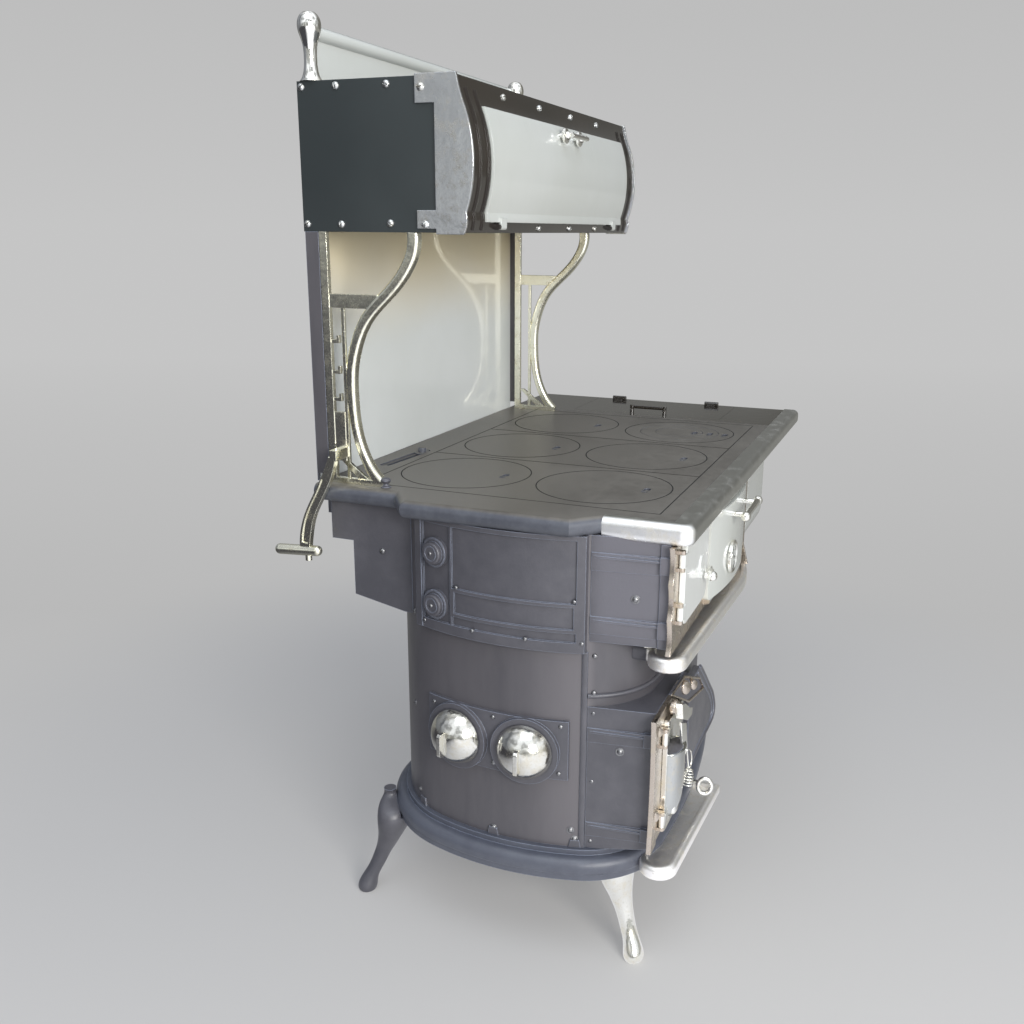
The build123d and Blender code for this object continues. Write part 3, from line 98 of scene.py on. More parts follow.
class Finish:
    """A node tree under construction: a material's, or the world's."""

    def __init__(self, name, shader=(), world=None):
        if world:
            self.tree = world.node_tree
            self.tree.nodes.clear()
            return
        self.material = bpy.data.materials.new(name)
        self.material.use_nodes = True
        self.tree = self.material.node_tree
        self.shader = self.tree.nodes["Principled BSDF"]
        for socket, value in dict(shader).items():
            self.shader.inputs[socket].default_value = value

    def feed(self, socket, value):
        if isinstance(value, Value):
            self.tree.links.new(value.socket, socket)
        elif isinstance(value, tuple) and socket.type == "RGBA":
            socket.default_value = (*value, 1.0)
        else:
            socket.default_value = value

    def node(self, kind, settings=(), inputs=(), output=0):
        """Any node: its settings come first, then its sockets."""
        made = self.tree.nodes.new(kind)
        for key, value in dict(settings).items():
            if key == "stops":
                ramp = made.color_ramp
                for spot, (position, colour) in zip(ramp.elements, (value[0], value[-1])):
                    spot.position, spot.color = position, (*colour, 1)
                for position, colour in value[1:-1]:
                    ramp.elements.new(position).color = (*colour, 1)
            else:
                setattr(made, key, value)
        for key, value in dict(inputs).items():
            self.feed(made.inputs[key], value)
        if made.outputs:
            return Value(self, made.outputs[output])

    def place(self):
        """Where a point of the piece is, in metres."""
        return self.node("ShaderNodeTexCoord", output="Object")

    def normal(self):
        """Which way the surface faces."""
        return self.node("ShaderNodeNewGeometry", output="Normal")

    def parts(self, vector):
        """The X, Y and Z of a vector, as three numbers."""
        first = self.node("ShaderNodeSeparateXYZ", (), {0: vector}, output="X")
        return first, first.other("Y"), first.other("Z")

    def noise(self, scale, detail=3.0, roughness=0.5, where=None, stretch=None):
        where = where or self.place()
        if stretch:
            where = self.node("ShaderNodeVectorMath", {"operation": "MULTIPLY"},
                              {0: where, 1: stretch})
        return self.node("ShaderNodeTexNoise", (), {
            "Vector": where, "Scale": scale, "Detail": detail, "Roughness": roughness})

    def step(self, value, low, high):
        """0 below low, 1 above high, and a smooth ramp between."""
        return self.node("ShaderNodeMapRange", {"interpolation_type": "SMOOTHSTEP"}, {
            "Value": value, "From Min": low, "From Max": high})

    def mix(self, factor, first, second):
        return self.node("ShaderNodeMix", {"data_type": "RGBA"}, {0: factor, 6: first, 7: second},
                         output=2)

    def ramp(self, value, stops):
        return self.node("ShaderNodeValToRGB", {"stops": stops}, {0: value})

    def soft_normal(self, radius):
        return self.node("ShaderNodeBevel", {"samples": 4}, {"Radius": radius})

    def edges(self, radius):
        """1 along the edges of the piece and 0 on its flats."""
        alike = self.node("ShaderNodeVectorMath", {"operation": "DOT_PRODUCT"},
                          {0: self.soft_normal(radius), 1: self.normal()}, output="Value")
        return self.step(1.0 - alike, 0.01, 0.25)

    def relief(self, height, depth, rounding):
        """Bump the surface by height times depth, in metres, over softly rounded edges."""
        self.surface("Normal", self.node("ShaderNodeBump", (), {
            "Height": height, "Distance": depth, "Strength": 1.0,
            "Normal": self.soft_normal(rounding)}))

    def surface(self, socket, value):
        self.feed(self.shader.inputs[socket], value)


# ---------------------------------------------------------------- finishes
CAST_ROUNDING = 0.0012
# painted highlight: the pale bluish tone on the edges of the stove blacks
PAINTED_EDGE_HIGHLIGHT = (0.36, 0.41, 0.53)
# how the painted light tone fades in with height and ends towards the front, in metres
PAINTED_LIGHT_FADE = 0.07
PAINTED_LIGHT_END_FADE = 0.015
IRON_BROWN = (0.116, 0.107, 0.094), (0.174, 0.162, 0.143)
IRON_BLUE = (0.075, 0.080, 0.098), (0.11, 0.118, 0.14)
IRON_EDGE = (0.24, 0.25, 0.28)
TARNISH = (0.66, 0.58, 0.40)
TARNISH_SPOT = (0.36, 0.31, 0.22)
ROOT_BLACK = (0.10, 0.10, 0.115)
WARM_ENAMEL = (0.90, 0.72, 0.36)
WARM_RISE = 0.24
ENAMEL_EDGE = 0.82


def stove_black(name, dark, pale, grain_depth, painted_light_tone, painted_light_from, painted_light_to, painted_light_above,
                streak=None):
    """Rubbed stove polish: a satin grey-black with a sandy cast grain, and painted edge highlights.

    The painted light tone, lighter where the key lamp falls, shows where a point lies far enough
    ahead of the frame's middle (it fades in over painted_light_from and ends at painted_light_to)
    and above a height, all in metres.
    """
    f = Finish(name, {"Specular IOR Level": 0.6, "IOR": 1.55})
    cloud = f.noise(5.0, 5.0, 0.6, stretch=streak)
    rub = f.noise(28.0, 4.0, 0.65, stretch=streak)
    edge = f.edges(CAST_ROUNDING * 1.6)
    tone = f.step(cloud * 0.6 + rub * 0.4, 0.32, 0.68)
    _, back, height = f.parts(f.place())
    ahead = 0.0 - back
    # painted light: a lighter tone ahead of the middle and above a height, where the key lamp falls
    painted_light = f.step(ahead, *painted_light_from) * f.step(height, painted_light_above, painted_light_above + PAINTED_LIGHT_FADE)
    painted_light = painted_light * (1.0 - f.step(ahead, painted_light_to, painted_light_to + PAINTED_LIGHT_END_FADE))
    colour = f.mix(painted_light * 0.8, f.mix(tone, dark, pale), painted_light_tone)
    # painted highlight: a pale bluish tone along the edges
    f.surface("Base Color", f.mix(edge * 0.8, colour, PAINTED_EDGE_HIGHLIGHT))
    f.surface("Roughness", 0.42 - tone * 0.10 - edge * 0.08)
    grain = f.noise(900.0, 3.0, 0.6) + f.noise(210.0, 2.0) * 0.8
    f.relief(grain, grain_depth, CAST_ROUNDING)
    return f.material


def top_iron():
    """Cooktop plates: seasoned iron, brown-grey on top and bluish down its sides."""
    f = Finish("top_iron", {"Specular IOR Level": 0.5, "IOR": 1.5})
    cloud = f.noise(7.0, 5.0, 0.6)
    rub = f.noise(60.0, 4.0, 0.7)
    edge = f.edges(0.0016)
    tone = f.step(cloud * 0.55 + rub * 0.45, 0.35, 0.65)
    flat = f.step(f.parts(f.normal())[2], 0.55, 0.95)
    colour = f.mix(flat, f.mix(tone, *IRON_BLUE), f.mix(tone, *IRON_BROWN))
    f.surface("Base Color", f.mix(edge * 0.5, colour, IRON_EDGE))
    f.surface("Roughness", 0.28 + flat * 0.08 + tone * 0.10)
    f.relief(f.noise(700.0, 3.0, 0.6), 0.00012, CAST_ROUNDING)
    return f.material


def nickel(name="nickel", polish=0.09, bright=(0.93, 0.92, 0.87), waves=0.0011, root=None,
           shaded=None):
    """Old nickel plate: bright cream metal with yellow-brown tarnish and a soft cast waviness.

    Behind root, a distance in metres, the casting is left black. A shaded tone takes the faces
    that don't look to the left.
    """
    f = Finish(name, {"Metallic": 1.0, "Specular IOR Level": 0.5})
    wave = f.noise(26.0, 3.0, 0.55)
    stain = f.step(f.noise(38.0, 6.0, 0.66), 0.47, 0.68)
    spots = f.step(f.noise(310.0, 3.0, 0.6), 0.58, 0.72)
    colour = f.mix(stain * 0.35, bright, TARNISH)
    colour = f.mix(spots * 0.25, colour, TARNISH_SPOT)
    rough = polish + stain * 0.12 + spots * 0.12
    if shaded is not None:
        colour = f.mix(f.step(0.0 - f.parts(f.normal())[0], 0.15, 0.6), shaded, colour)
    if root is not None:
        bare = f.step(f.parts(f.place())[1], root, root + 0.004)
        colour = f.mix(bare, colour, ROOT_BLACK)
        f.surface("Metallic", 1.0 - bare)
        rough = rough + bare * 0.2
    f.surface("Base Color", colour)
    f.surface("Roughness", rough)
    f.relief(wave + f.noise(150.0, 2.0) * 0.12, waves, 0.0016)
    return f.material


def enamel(name, pale, deep, gloss=0.16, warm_above=None):
    """Fired enamel: a glassy coat with a slight ripple, with a yellow-brown tone above a height if
    wanted.
    """
    f = Finish(name, {"Coat Weight": 0.8, "Coat Roughness": 0.04, "Specular IOR Level": 0.5})
    cloud = f.noise(3.0, 4.0, 0.5)
    edge = f.edges(0.0022)
    colour = f.mix(f.step(cloud, 0.3, 0.7), pale, deep)
    if warm_above is not None:
        height = f.parts(f.place())[2]
        warm = f.step(height + cloud * 0.10, warm_above, warm_above + WARM_RISE)
        colour = f.mix(warm * 0.75, colour, WARM_ENAMEL)
    f.surface("Base Color", f.mix(edge * 0.35, colour, tuple(ENAMEL_EDGE * c for c in deep)))
    f.surface("Roughness", gloss + cloud * 0.06)
    f.relief(f.noise(45.0, 2.0), 0.00025, 0.0022)
    return f.material


def dull(name, dark, pale, scale, depth, roughness, metal=0.0):
    """Unpolished stock: brick, rough iron, zinc sheet and bolt steel, and painted shadow for narrow
    gaps.
    """
    f = Finish(name, {"Metallic": metal})
    patch = f.noise(scale, 5.0, 0.65)
    f.surface("Base Color", f.mix(f.step(patch, 0.35, 0.65), dark, pale))
    f.surface("Roughness", roughness + patch * 0.15)
    f.relief(f.noise(scale * 12.0, 3.0), depth, 0.001)
    return f.material


def bare_name(name):
    """A material's name without the number that Blender adds to a second one."""
    return name.split(".")[0]


FRONT_FACE = -306.0
SHELF_ROOT = (FRONT_FACE + SHIFT.y + 2.0) * MM

FINISHES = {bare_name(finish.name): finish for finish in (
    # painted light: each black below takes a lighter tone towards the front, where the key lamp
    # falls
    stove_black("cast_black", (0.072, 0.072, 0.085), (0.112, 0.110, 0.126), 0.00026,
                painted_light_tone=(0.155, 0.152, 0.176), painted_light_from=(0.25, 0.29), painted_light_to=9.0,
                painted_light_above=0.56),
    # painted reflection: the skirt's black is a bluer copy of the cast black, for the blue sheen of
    # the sky on its roll
    stove_black("skirt_black", (0.070, 0.077, 0.103), (0.110, 0.120, 0.150), 0.00026,
                painted_light_tone=(0.11, 0.12, 0.14), painted_light_from=(0.25, 0.29), painted_light_to=9.0,
                painted_light_above=0.56),
    stove_black("sheet_black", (0.074, 0.071, 0.081), (0.108, 0.103, 0.113), 0.00008,
                painted_light_tone=(0.150, 0.140, 0.150), painted_light_from=(0.13, 0.26), painted_light_to=0.262,
                painted_light_above=0.10, streak=(1.0, 1.0, 0.25)),
    top_iron(),
    enamel("gloss_black", (0.014, 0.011, 0.008), (0.024, 0.018, 0.013), 0.10),
    enamel("closet_dark", (0.019, 0.026, 0.028), (0.029, 0.037, 0.039), 0.34),
    enamel("enamel_white", (0.70, 0.725, 0.70), (0.64, 0.665, 0.63)),
    enamel("warm_enamel", (0.80, 0.835, 0.83), (0.74, 0.775, 0.76), warm_above=1.06),
    enamel("door_enamel", (0.86, 0.885, 0.87), (0.81, 0.835, 0.81)),
    nickel(),
    nickel("strip_nickel", 0.26, (0.58, 0.51, 0.44)),
    # painted shade: a darker grey copy of the nickel, for the shade and dark reflections in the ash
    # door's scoop
    nickel("shaded_scoop_nickel", 0.12, (0.50, 0.51, 0.50), 0.0007),
    nickel("bracket_nickel", 0.20, (1.0, 0.98, 0.82), 0.0008),
    nickel("plate_nickel", 0.17, (0.89, 0.91, 0.94), 0.0006),
    nickel("screw_nickel", 0.30, (0.62, 0.63, 0.62), 0.0004),
    nickel("cast_nickel", 0.12, (0.72, 0.71, 0.66)),
    nickel("shelf_nickel", 0.42, (1.0, 0.98, 0.95), 0.0007, root=SHELF_ROOT),
    nickel("edge_nickel", 0.38, (1.0, 1.0, 0.99), 0.0006, shaded=(0.50, 0.50, 0.47)),
    nickel("dial", 0.14),
    # painted shadow: near-black strips that stand in for the shade in the cooktop's narrow gaps
    dull("gap_shadow", (0.006, 0.006, 0.006), (0.012, 0.012, 0.011), 40.0, 0.0001, 0.85),
    dull("firebrick", (0.42, 0.33, 0.24), (0.56, 0.46, 0.36), 30.0, 0.0006, 0.75),
    dull("iron_rough", (0.05, 0.045, 0.042), (0.10, 0.085, 0.075), 45.0, 0.0005, 0.6),
    dull("galvanised", (0.42, 0.44, 0.45), (0.60, 0.62, 0.63), 60.0, 0.0001, 0.35, metal=1.0),
    dull("bolt_steel", (0.20, 0.20, 0.21), (0.34, 0.34, 0.34), 120.0, 0.0001, 0.30, metal=1.0),
)}

FINISH_OF = {
    "ash_frame": "strip_nickel", "front_frame": "strip_nickel", "splash_panel": "warm_enamel",
    "bracket_left": "bracket_nickel", "bracket_right": "bracket_nickel",
    "closet_corners": "plate_nickel", "cooktop_trim": "edge_nickel", "base_ring": "skirt_black",
    "upper_shelf": "shelf_nickel", "lower_shelf": "shelf_nickel", "feed_door": "door_enamel",
    "leg_front_left": "cast_nickel", "leg_front_right": "cast_nickel",
    "draft_dome_front": "cast_nickel", "draft_dome_rear": "cast_nickel",
}


def paint_frame():
    """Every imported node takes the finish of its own, or else of its material slot."""
    for name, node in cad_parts.items():
        for spot in node.material_slots:
            spot.material = FINISHES[FINISH_OF.get(name, bare_name(spot.material.name))]


# ---------------------------------------------------------------- mesh forms
SHARP_ANGLE = math.radians(40.0)


class Form:
    """A mesh under construction, in stove millimetres."""

    def __init__(self):
        self.mesh = bmesh.new()

    def skin(self, rings, closed=False):
        """Faces between rings that have the same number of points, capped or closed on itself."""
        rows = [[self.mesh.verts.new(point) for point in ring] for ring in rings]
        pairs = list(zip(rows, rows[1:]))
        if closed:
            pairs.append((rows[-1], rows[0]))
        for first, second in pairs:
            for i in range(len(first)):
                j = (i + 1) % len(first)
                self.mesh.faces.new((first[i], first[j], second[j], second[i]))
        if not closed:
            self.mesh.faces.new(rows[0][::-1])
            self.mesh.faces.new(rows[-1])

    def lathe(self, place, profile, steps=24, closed=False):
        """Turn a profile of (radius, height) round the Z axis of a place, solid or as a ring."""
        rings = []
        for radius, height in profile:
            rings.append([place @ Vector((radius * math.cos(turn), radius * math.sin(turn), height))
                          for turn in turns(steps)])
        self.skin(rings, closed)

    def tube(self, path, radius, steps=12, closed=False):
        """Round bar along a path, with open ends or closed into a loop."""
        side = None
        rings = []
        last = len(path) - 1
        for i, point in enumerate(path):
            if closed:
                ahead = (path[(i + 1) % len(path)] - path[i - 1]).normalized()
            else:
                ahead = (path[min(i + 1, last)] - path[max(i - 1, 0)]).normalized()
            if side is None:
                side = ahead.orthogonal().normalized()
            side = (side - ahead * side.dot(ahead)).normalized()
            up = ahead.cross(side)
            rings.append([point + side * (radius * math.cos(turn))
                          + up * (radius * math.sin(turn)) for turn in turns(steps)])
        self.skin(rings, closed)

    def plate(self, place, outline, low, high, bevel):
        """Flat shape drawn as (u, v) on a place, from low to high above it, with soft edges."""
        middle = sum((Vector(point) for point in outline), Vector((0, 0))) / len(outline)
        reach = max((Vector(point) - middle).length for point in outline)
        inner = 1.0 - bevel / reach
        rings = []
        for height, scale in ((low, 1.0), (high - bevel, 1.0), (high, inner)):
            ring = []
            for point in outline:
                u, v = middle + (Vector(point) - middle) * scale
                ring.append(place @ Vector((u, v, height)))
            rings.append(ring)
        self.skin(rings)

    def done(self, name, finish, body="stove"):
        """Turn the form into an object of that finish, riding on a body of the frame."""
        for vert in self.mesh.verts:
            vert.co = at(*vert.co)
        bmesh.ops.recalc_face_normals(self.mesh, faces=self.mesh.faces)
        mesh = bpy.data.meshes.new(name)
        self.mesh.to_mesh(mesh)
        self.mesh.free()
        mesh.shade_smooth()
        mesh.set_sharp_from_angle(angle=SHARP_ANGLE)
        mesh.materials.append(FINISHES[finish])
        made = bpy.data.objects.new(name, mesh)
        bpy.context.collection.objects.link(made)
        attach(made, body)
        return made


def turns(steps):
    return [2.0 * math.pi * i / steps for i in range(steps)]


def facing(point, normal):
    """A place at a point whose Z axis runs along a normal."""
    place = Vector(normal).to_track_quat("Z", "Y").to_matrix().to_4x4()
    place.translation = Vector(point)
    return place


def smooth(points, steps=6):
    """Points along a soft curve through the given ones."""
    points = [Vector(point) for point in points]
    ends = [points[0] * 2 - points[1]] + points + [points[-1] * 2 - points[-2]]
    path = []
    for a, b, c, d in zip(ends, ends[1:], ends[2:], ends[3:]):
        for i in range(steps):
            t = i / steps
            path.append(0.5 * ((2 * b) + (c - a) * t + (2 * a - 5 * b + 4 * c - d) * t ** 2
                               + (3 * b - a - 3 * c + d) * t ** 3))
    return path + [points[-1]]


def between(values, share):
    """The value at a share of the way along a list."""
    spot = share * (len(values) - 1)
    low = min(int(spot), len(values) - 2)
    return values[low] + (values[low + 1] - values[low]) * (spot - low)


# ---------------------------------------------------------------- sizes of the stove
COOKTOP = 800.0
NOSE = Vector((-110.0, -80.0, 0.0))
NOSE_RADIUS = 454.0
FRONT_TURN = Vector((-420.8, -171.8, 0.0))
FRONT_TURN_RADIUS = 130.0
NOSE_FRONT_Y = -214.5
BACK_TURN = Vector((-361.7, -1.2, 0.0))
BACK_TURN_RADIUS = 190.0
NOSE_BACK_Y = 57.0
BOW = Vector((-300.0, 1514.0, 0.0))
BOW_RADIUS = 1820.0
BOW_STEP = 0.012
CORNER_STEPS = 30
CORNER_MEET = math.asin((BOW.y - FRONT_TURN.y) / (BOW_RADIUS - FRONT_TURN_RADIUS))
SEAM = Vector((-543.0, -218.0, 0.0))
FRONT_CORNER = Vector((-526.0, -345.0, 0.0))
ASH_CORNER = Vector((-526.0, -330.0, 0.0))
SKIRT_TOP = 208.0


def on_nose(y, z, out):
    """Point and outward direction on the round left end, out millimetres proud of its sheet."""
    centre, radius = NOSE, NOSE_RADIUS + out
    if y < NOSE_FRONT_Y:
        centre, radius = FRONT_TURN, FRONT_TURN_RADIUS + out
    elif y > NOSE_BACK_Y:
        centre, radius = BACK_TURN, BACK_TURN_RADIUS + out
    across = (y - centre.y) / radius
    normal = Vector((-math.sqrt(1.0 - across * across), across, 0.0))
    return centre + normal * radius + Vector((0, 0, z)), normal


def on_wall(corner, y, z):
    """Point and outward direction on the left wall of a front casting."""
    share = (y - SEAM.y) / (corner.y - SEAM.y)
    along = (corner - SEAM).normalized()
    normal = Vector((along.y, -along.x, 0.0))
    return SEAM.lerp(corner, share) + Vector((0, 0, z)), normal


def corner_path(z, grow):
    """Path on the oval body round its front corner, from the seam to behind the ash section."""
    start = math.asin((FRONT_TURN.y - SEAM.y) / (FRONT_TURN_RADIUS + grow))
    path = []
    for i in range(CORNER_STEPS + 1):
        turn = start + (CORNER_MEET - start) * i / CORNER_STEPS
        path.append(FRONT_TURN + Vector((-math.cos(turn), -math.sin(turn), 0))
                    * (FRONT_TURN_RADIUS + grow) + Vector((0, 0, z)))
    for i in range(1, 9):
        turn = CORNER_MEET + BOW_STEP * i
        path.append(BOW + Vector((-math.cos(turn), -math.sin(turn), 0)) * (BOW_RADIUS + grow)
                    + Vector((0, 0, z)))
    return path


# ---------------------------------------------------------------- fasteners
DOME_HEAD = [(1.0, -0.3), (1.0, 0.16), (0.9, 0.38), (0.68, 0.58), (0.38, 0.70), (0.08, 0.74)]
WASHER = [(1.5, -0.2), (1.5, 0.12), (1.42, 0.2)]
SLOT_DEPTH = 0.45
SLOT_HALF = 0.13


def head(form, point, normal, radius, washer=False):
    """Round head of a bolt or rivet, with a washer under it if wanted."""
    place = facing(point, normal)
    form.lathe(place, [(r * radius, h * radius) for r, h in DOME_HEAD], 16)
    if washer:
        form.lathe(place, [(r * radius, h * radius) for r, h in WASHER], 20)


def slotted(form, point, normal, radius, turn):
    """Round screw head whose two halves stand on either side of a slot."""
    place = facing(point, normal) @ Matrix.Rotation(turn, 4, "Z")
    for side in (-1, 1):
        rings = []
        for r, h in DOME_HEAD:
            ring = []
            for i in range(13):
                angle = math.pi * i / 12
                v = max(r * math.sin(angle), SLOT_HALF)
                ring.append(place @ Vector((r * math.cos(angle) * radius, side * v * radius,
                                            h * radius)))
            rings.append(ring)
        form.skin(rings)
    bed = [(r * radius * 0.9, (h - SLOT_DEPTH) * radius) for r, h in DOME_HEAD]
    form.lathe(place, bed, 16)


BODY_BOLTS = [(125, 401), (115, 231), (-194, 240), (119, 581)]
SEAM_BOLTS = [564, 499, 462, 336, 222]
SEAM_BOLT_Y = -227.0
PANEL_SCREWS = [(9, 659), (-197, 661), (79, 584), (-22, 589), (-118, 590), (-210, 590)]
DRAFT_SCREWS = [(64, 433), (-58, 437), (-177, 437), (64, 350), (-59, 351), (-175, 350)]
BASE_BOLTS = [(102, 211), (-56, 215), (-201, 218)]
WALL_BOLTS = [(FRONT_CORNER, -290, 669), (ASH_CORNER, -273, 398)]
CASING_BOLT = (-505.0, 182.0, 683.0)
STRIP_PROUD = 1
PANEL_PROUD = 12
DRAFT_PROUD = 6
CLIP_RISE = 6


def body_fasteners():
    """Bolts, rivets and screws of the round left end and the walls beside it."""
    form = Form()
    for y, z in BODY_BOLTS:
        head(form, *on_nose(y, z, 0), 4.5, washer=True)
    for z in SEAM_BOLTS:
        head(form, *on_nose(SEAM_BOLT_Y, z, STRIP_PROUD), 4.2)
    for y, z in PANEL_SCREWS:
        head(form, *on_nose(y, z, PANEL_PROUD), 3.6)
    for y, z in DRAFT_SCREWS:
        head(form, *on_nose(y, z, DRAFT_PROUD), 4.0)
    for y, z in BASE_BOLTS:
        head(form, *on_nose(y, z + CLIP_RISE, 0), 4.4, washer=True)
    head(form, CASING_BOLT, (-1, 0, 0), 5.5)
    for spot in WALL_BOLTS:
        head(form, *on_wall(*spot), 5.0, washer=True)
    form.done("body_bolts", "bolt_steel")


PLUGS = [(52, 712), (52, 620)]
PLUG_FOOT = 8
PLUG_TOP = 15
PLUG_STEP = 6
TOP_RING = [(13.5, -0.5), (13.5, 0.5), (12.3, 0.9), (11.1, 0.5), (11.1, -0.5)]
STEP_RING = [(24.6, -0.5), (24.6, 0.4), (23.4, 0.9), (22.2, 0.4), (22.2, -0.5)]


def plug_bolts():
    """Two turned rings on each fire plug, and a small bolt in its middle."""
    rings, bolts = Form(), Form()
    for y, z in PLUGS:
        point, normal = on_nose(y, z, PLUG_FOOT)
        rings.lathe(facing(point + normal * PLUG_TOP, normal), TOP_RING, 40, closed=True)
        rings.lathe(facing(point + normal * PLUG_STEP, normal), STEP_RING, 44, closed=True)
        head(bolts, point + normal * PLUG_TOP, normal, 3.4)
    rings.done("plug_rings", "cast_black")
    bolts.done("plug_bolts", "bolt_steel")


# ---------------------------------------------------------------- trim of the body
BEAD_Z = 493.0
BEAD_RADIUS = 4.2
STRIP_SECTION = [(-208, -1), (-208, 2.2), (-209.5, 3.2), (-215.5, 3.2), (-217, 2.2), (-217, -1)]
STRIP_TOP = 571.0
CLIP = [(-11, 0), (-8, 15), (8, 15), (11, 0)]


def body_trim():
    """The bead round the front corner, the seam strip, and the small clips on the skirt."""
    form = Form()
    form.tube(corner_path(BEAD_Z, 1.0), BEAD_RADIUS, 10)
    form.skin([[on_nose(y, z, out)[0] for y, out in STRIP_SECTION]
               for z in (SKIRT_TOP + 1, STRIP_TOP)])
    for y, _ in BASE_BOLTS:
        form.plate(facing(*on_nose(y, SKIRT_TOP, 0)), CLIP, 0, 3.2, 1.2)
    form.done("body_trim", "cast_black")


# ---------------------------------------------------------------- warming closet
CLOSET_TOP_SCREWS = [(302, 1449), (238, 1449), (147, 1448)]
CLOSET_LOW_SCREWS = [(302, 1238), (237, 1238), (146, 1240)]
TAB_SCREWS = [(85, 1441), (81, 1238)]
RAIL_TOP_SCREWS = [-334, -169, -3, 157]
RAIL_LOW_SCREWS = [-196, -32, 128]
TAB_PROUD = 5.2
RAIL_TOP = 23.2, 1443
RAIL_LOW = 11.8, 1234
SIDE_SCREW = 6.2
RAIL_SCREW = 5.6


def closet_screws():
    """Slotted screws of the closet's left side and of its two front rails."""
    form = Form()
    for i, (y, z) in enumerate(CLOSET_TOP_SCREWS + CLOSET_LOW_SCREWS):
        slotted(form, Vector((CLOSET_SIDE, y, z)), (-1, 0, 0), SIDE_SCREW, 0.7 + i)
    for i, (y, z) in enumerate(TAB_SCREWS):
        slotted(form, Vector((CLOSET_SIDE - TAB_PROUD, y, z)), (-1, 0, 0), SIDE_SCREW, 0.3 + i)
    for i, x in enumerate(RAIL_TOP_SCREWS):
        slotted(form, Vector((x, *RAIL_TOP)), (0, -0.97, 0.22), RAIL_SCREW, 0.9 * i)
    for i, x in enumerate(RAIL_LOW_SCREWS):
        slotted(form, Vector((x, *RAIL_LOW)), (0, -0.97, -0.2), RAIL_SCREW, 0.4 + i)
    form.done("closet_screws", "screw_nickel")


BAIL_ENDS = [(-112.0, -9.0, 1400.0), (-36.0, -9.0, 1400.0)]
ROSETTE = [(14, -4), (14, 0), (12.5, 1.6), (8.5, 2.2), (7.5, 5.5), (5.4, 7.5), (5.0, 13.5)]


def closet_bail():
    """Stepped rosette under each end of the closet door's bail handle."""
    form = Form()
    for end in BAIL_ENDS:
        form.lathe(facing(end, (0, -1, 0.06)), ROSETTE, 28)
    form.done("closet_rosettes", "nickel", "closet_door")


# ---------------------------------------------------------------- oven thermometer
DIAL_X = -205.0
DIAL_Z = 655.0
BEZEL = [(30.6, -3.4), (31, -1.2), (30, 1.2), (28, 2.0), (26.4, 1.0), (25.4, -1.0)]
NEEDLE = [(-6, -1.3), (18, -0.4), (20, 0), (18, 0.4), (-6, 1.3)]
NEEDLE_TURN = 118
HUB = [(2.6, 0), (2.6, 1.2), (1.6, 1.7)]
DIAL_FACE = [(25.6, -2.0), (25.6, -0.4), (25.0, 0.1)]
TICKS = 31
FIRST_TICK = -225.0
TICK_STEP = 9.0
TICK_END = 24
LONG_TICK = 19.5, 0.5
SHORT_TICK = 21.5, 0.3


def thermometer():
    """Turned bezel, white dial with plain ticks, and a needle."""
    face_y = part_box("thermometer")[0][1] / MM - SHIFT.y
    place = facing((DIAL_X, face_y, DIAL_Z), (0, -1, 0))
    form = Form()
    form.lathe(place, BEZEL, 56)
    form.done("thermometer_bezel", "nickel", "oven_door")
    form = Form()
    form.lathe(place, DIAL_FACE, 48)
    form.done("thermometer_dial", "enamel_white", "oven_door")
    form = Form()
    for i in range(TICKS):
        turn = math.radians(FIRST_TICK + TICK_STEP * i)
        inner, half = LONG_TICK if i % 5 == 0 else SHORT_TICK
        spin = place @ Matrix.Rotation(turn, 4, "Z")
        form.plate(spin, [(inner, -half), (TICK_END, -half), (TICK_END, half), (inner, half)],
                   0, 0.35, 0.1)
    form.plate(place @ Matrix.Rotation(math.radians(NEEDLE_TURN), 4, "Z"), NEEDLE, 0.4, 0.9, 0.2)
    form.lathe(place, HUB, 18)
    form.done("thermometer_marks", "gloss_black", "oven_door")


# ---------------------------------------------------------------- cooktop
KNOB_PLACE = (-504, 172, COOKTOP)
KNOB = [(9, -1), (9, 1.5), (5, 3.5), (4.4, 6), (8, 9), (9, 12.5), (7, 16), (2, 17.5)]
LID_GAP = 2.0
KEY_GAP = 0.4
GAP_HALF = 1
GAP_FOOT = -0.3


def cooktop_knob():
    """Turned knob on the cooktop beside the left bracket's foot."""
    form = Form()
    form.lathe(facing(KNOB_PLACE, (0, 0, 1)), KNOB, 24)
    form.done("cooktop_knob", "cast_black")


def top_gap_shadows():
    """Painted shadow: dark strips in the fine gaps round the cooktop's lids and between its key
    plates.
    """
    form = Form()
    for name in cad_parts:
        if not name.startswith(("lid_", "key_plate_")):
            continue
        low, high = (Vector(corner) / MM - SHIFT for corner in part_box(name))
        middle = Vector(((low.x + high.x) / 2, (low.y + high.y) / 2, COOKTOP))
        half_x, half_y = (high.x - low.x) / 2, (high.y - low.y) / 2
        if name.startswith("lid_"):
            form.lathe(facing(middle, (0, 0, 1)), [
                (half_x + LID_GAP, GAP_FOOT), (half_x + LID_GAP, 0.2), (half_x - 0.1, 0.2),
                (half_x - 0.1, GAP_FOOT)], 96, closed=True)
            continue
        for side in (-1, 1):
            edge_x = middle.x + side * (half_x + KEY_GAP)
            edge_y = middle.y + side * (half_y + KEY_GAP)
            for x0, x1, y0, y1 in ((edge_x - GAP_HALF, edge_x + GAP_HALF, low.y, high.y),
                                   (low.x, high.x, edge_y - GAP_HALF, edge_y + GAP_HALF)):
                form.plate(Matrix.Translation((0, 0, COOKTOP)), [
                    (x0, y0), (x1, y0), (x1, y1), (x0, y1)], GAP_FOOT, 0.15, 0.05)
    form.done("top_gap_shadows", "gap_shadow")


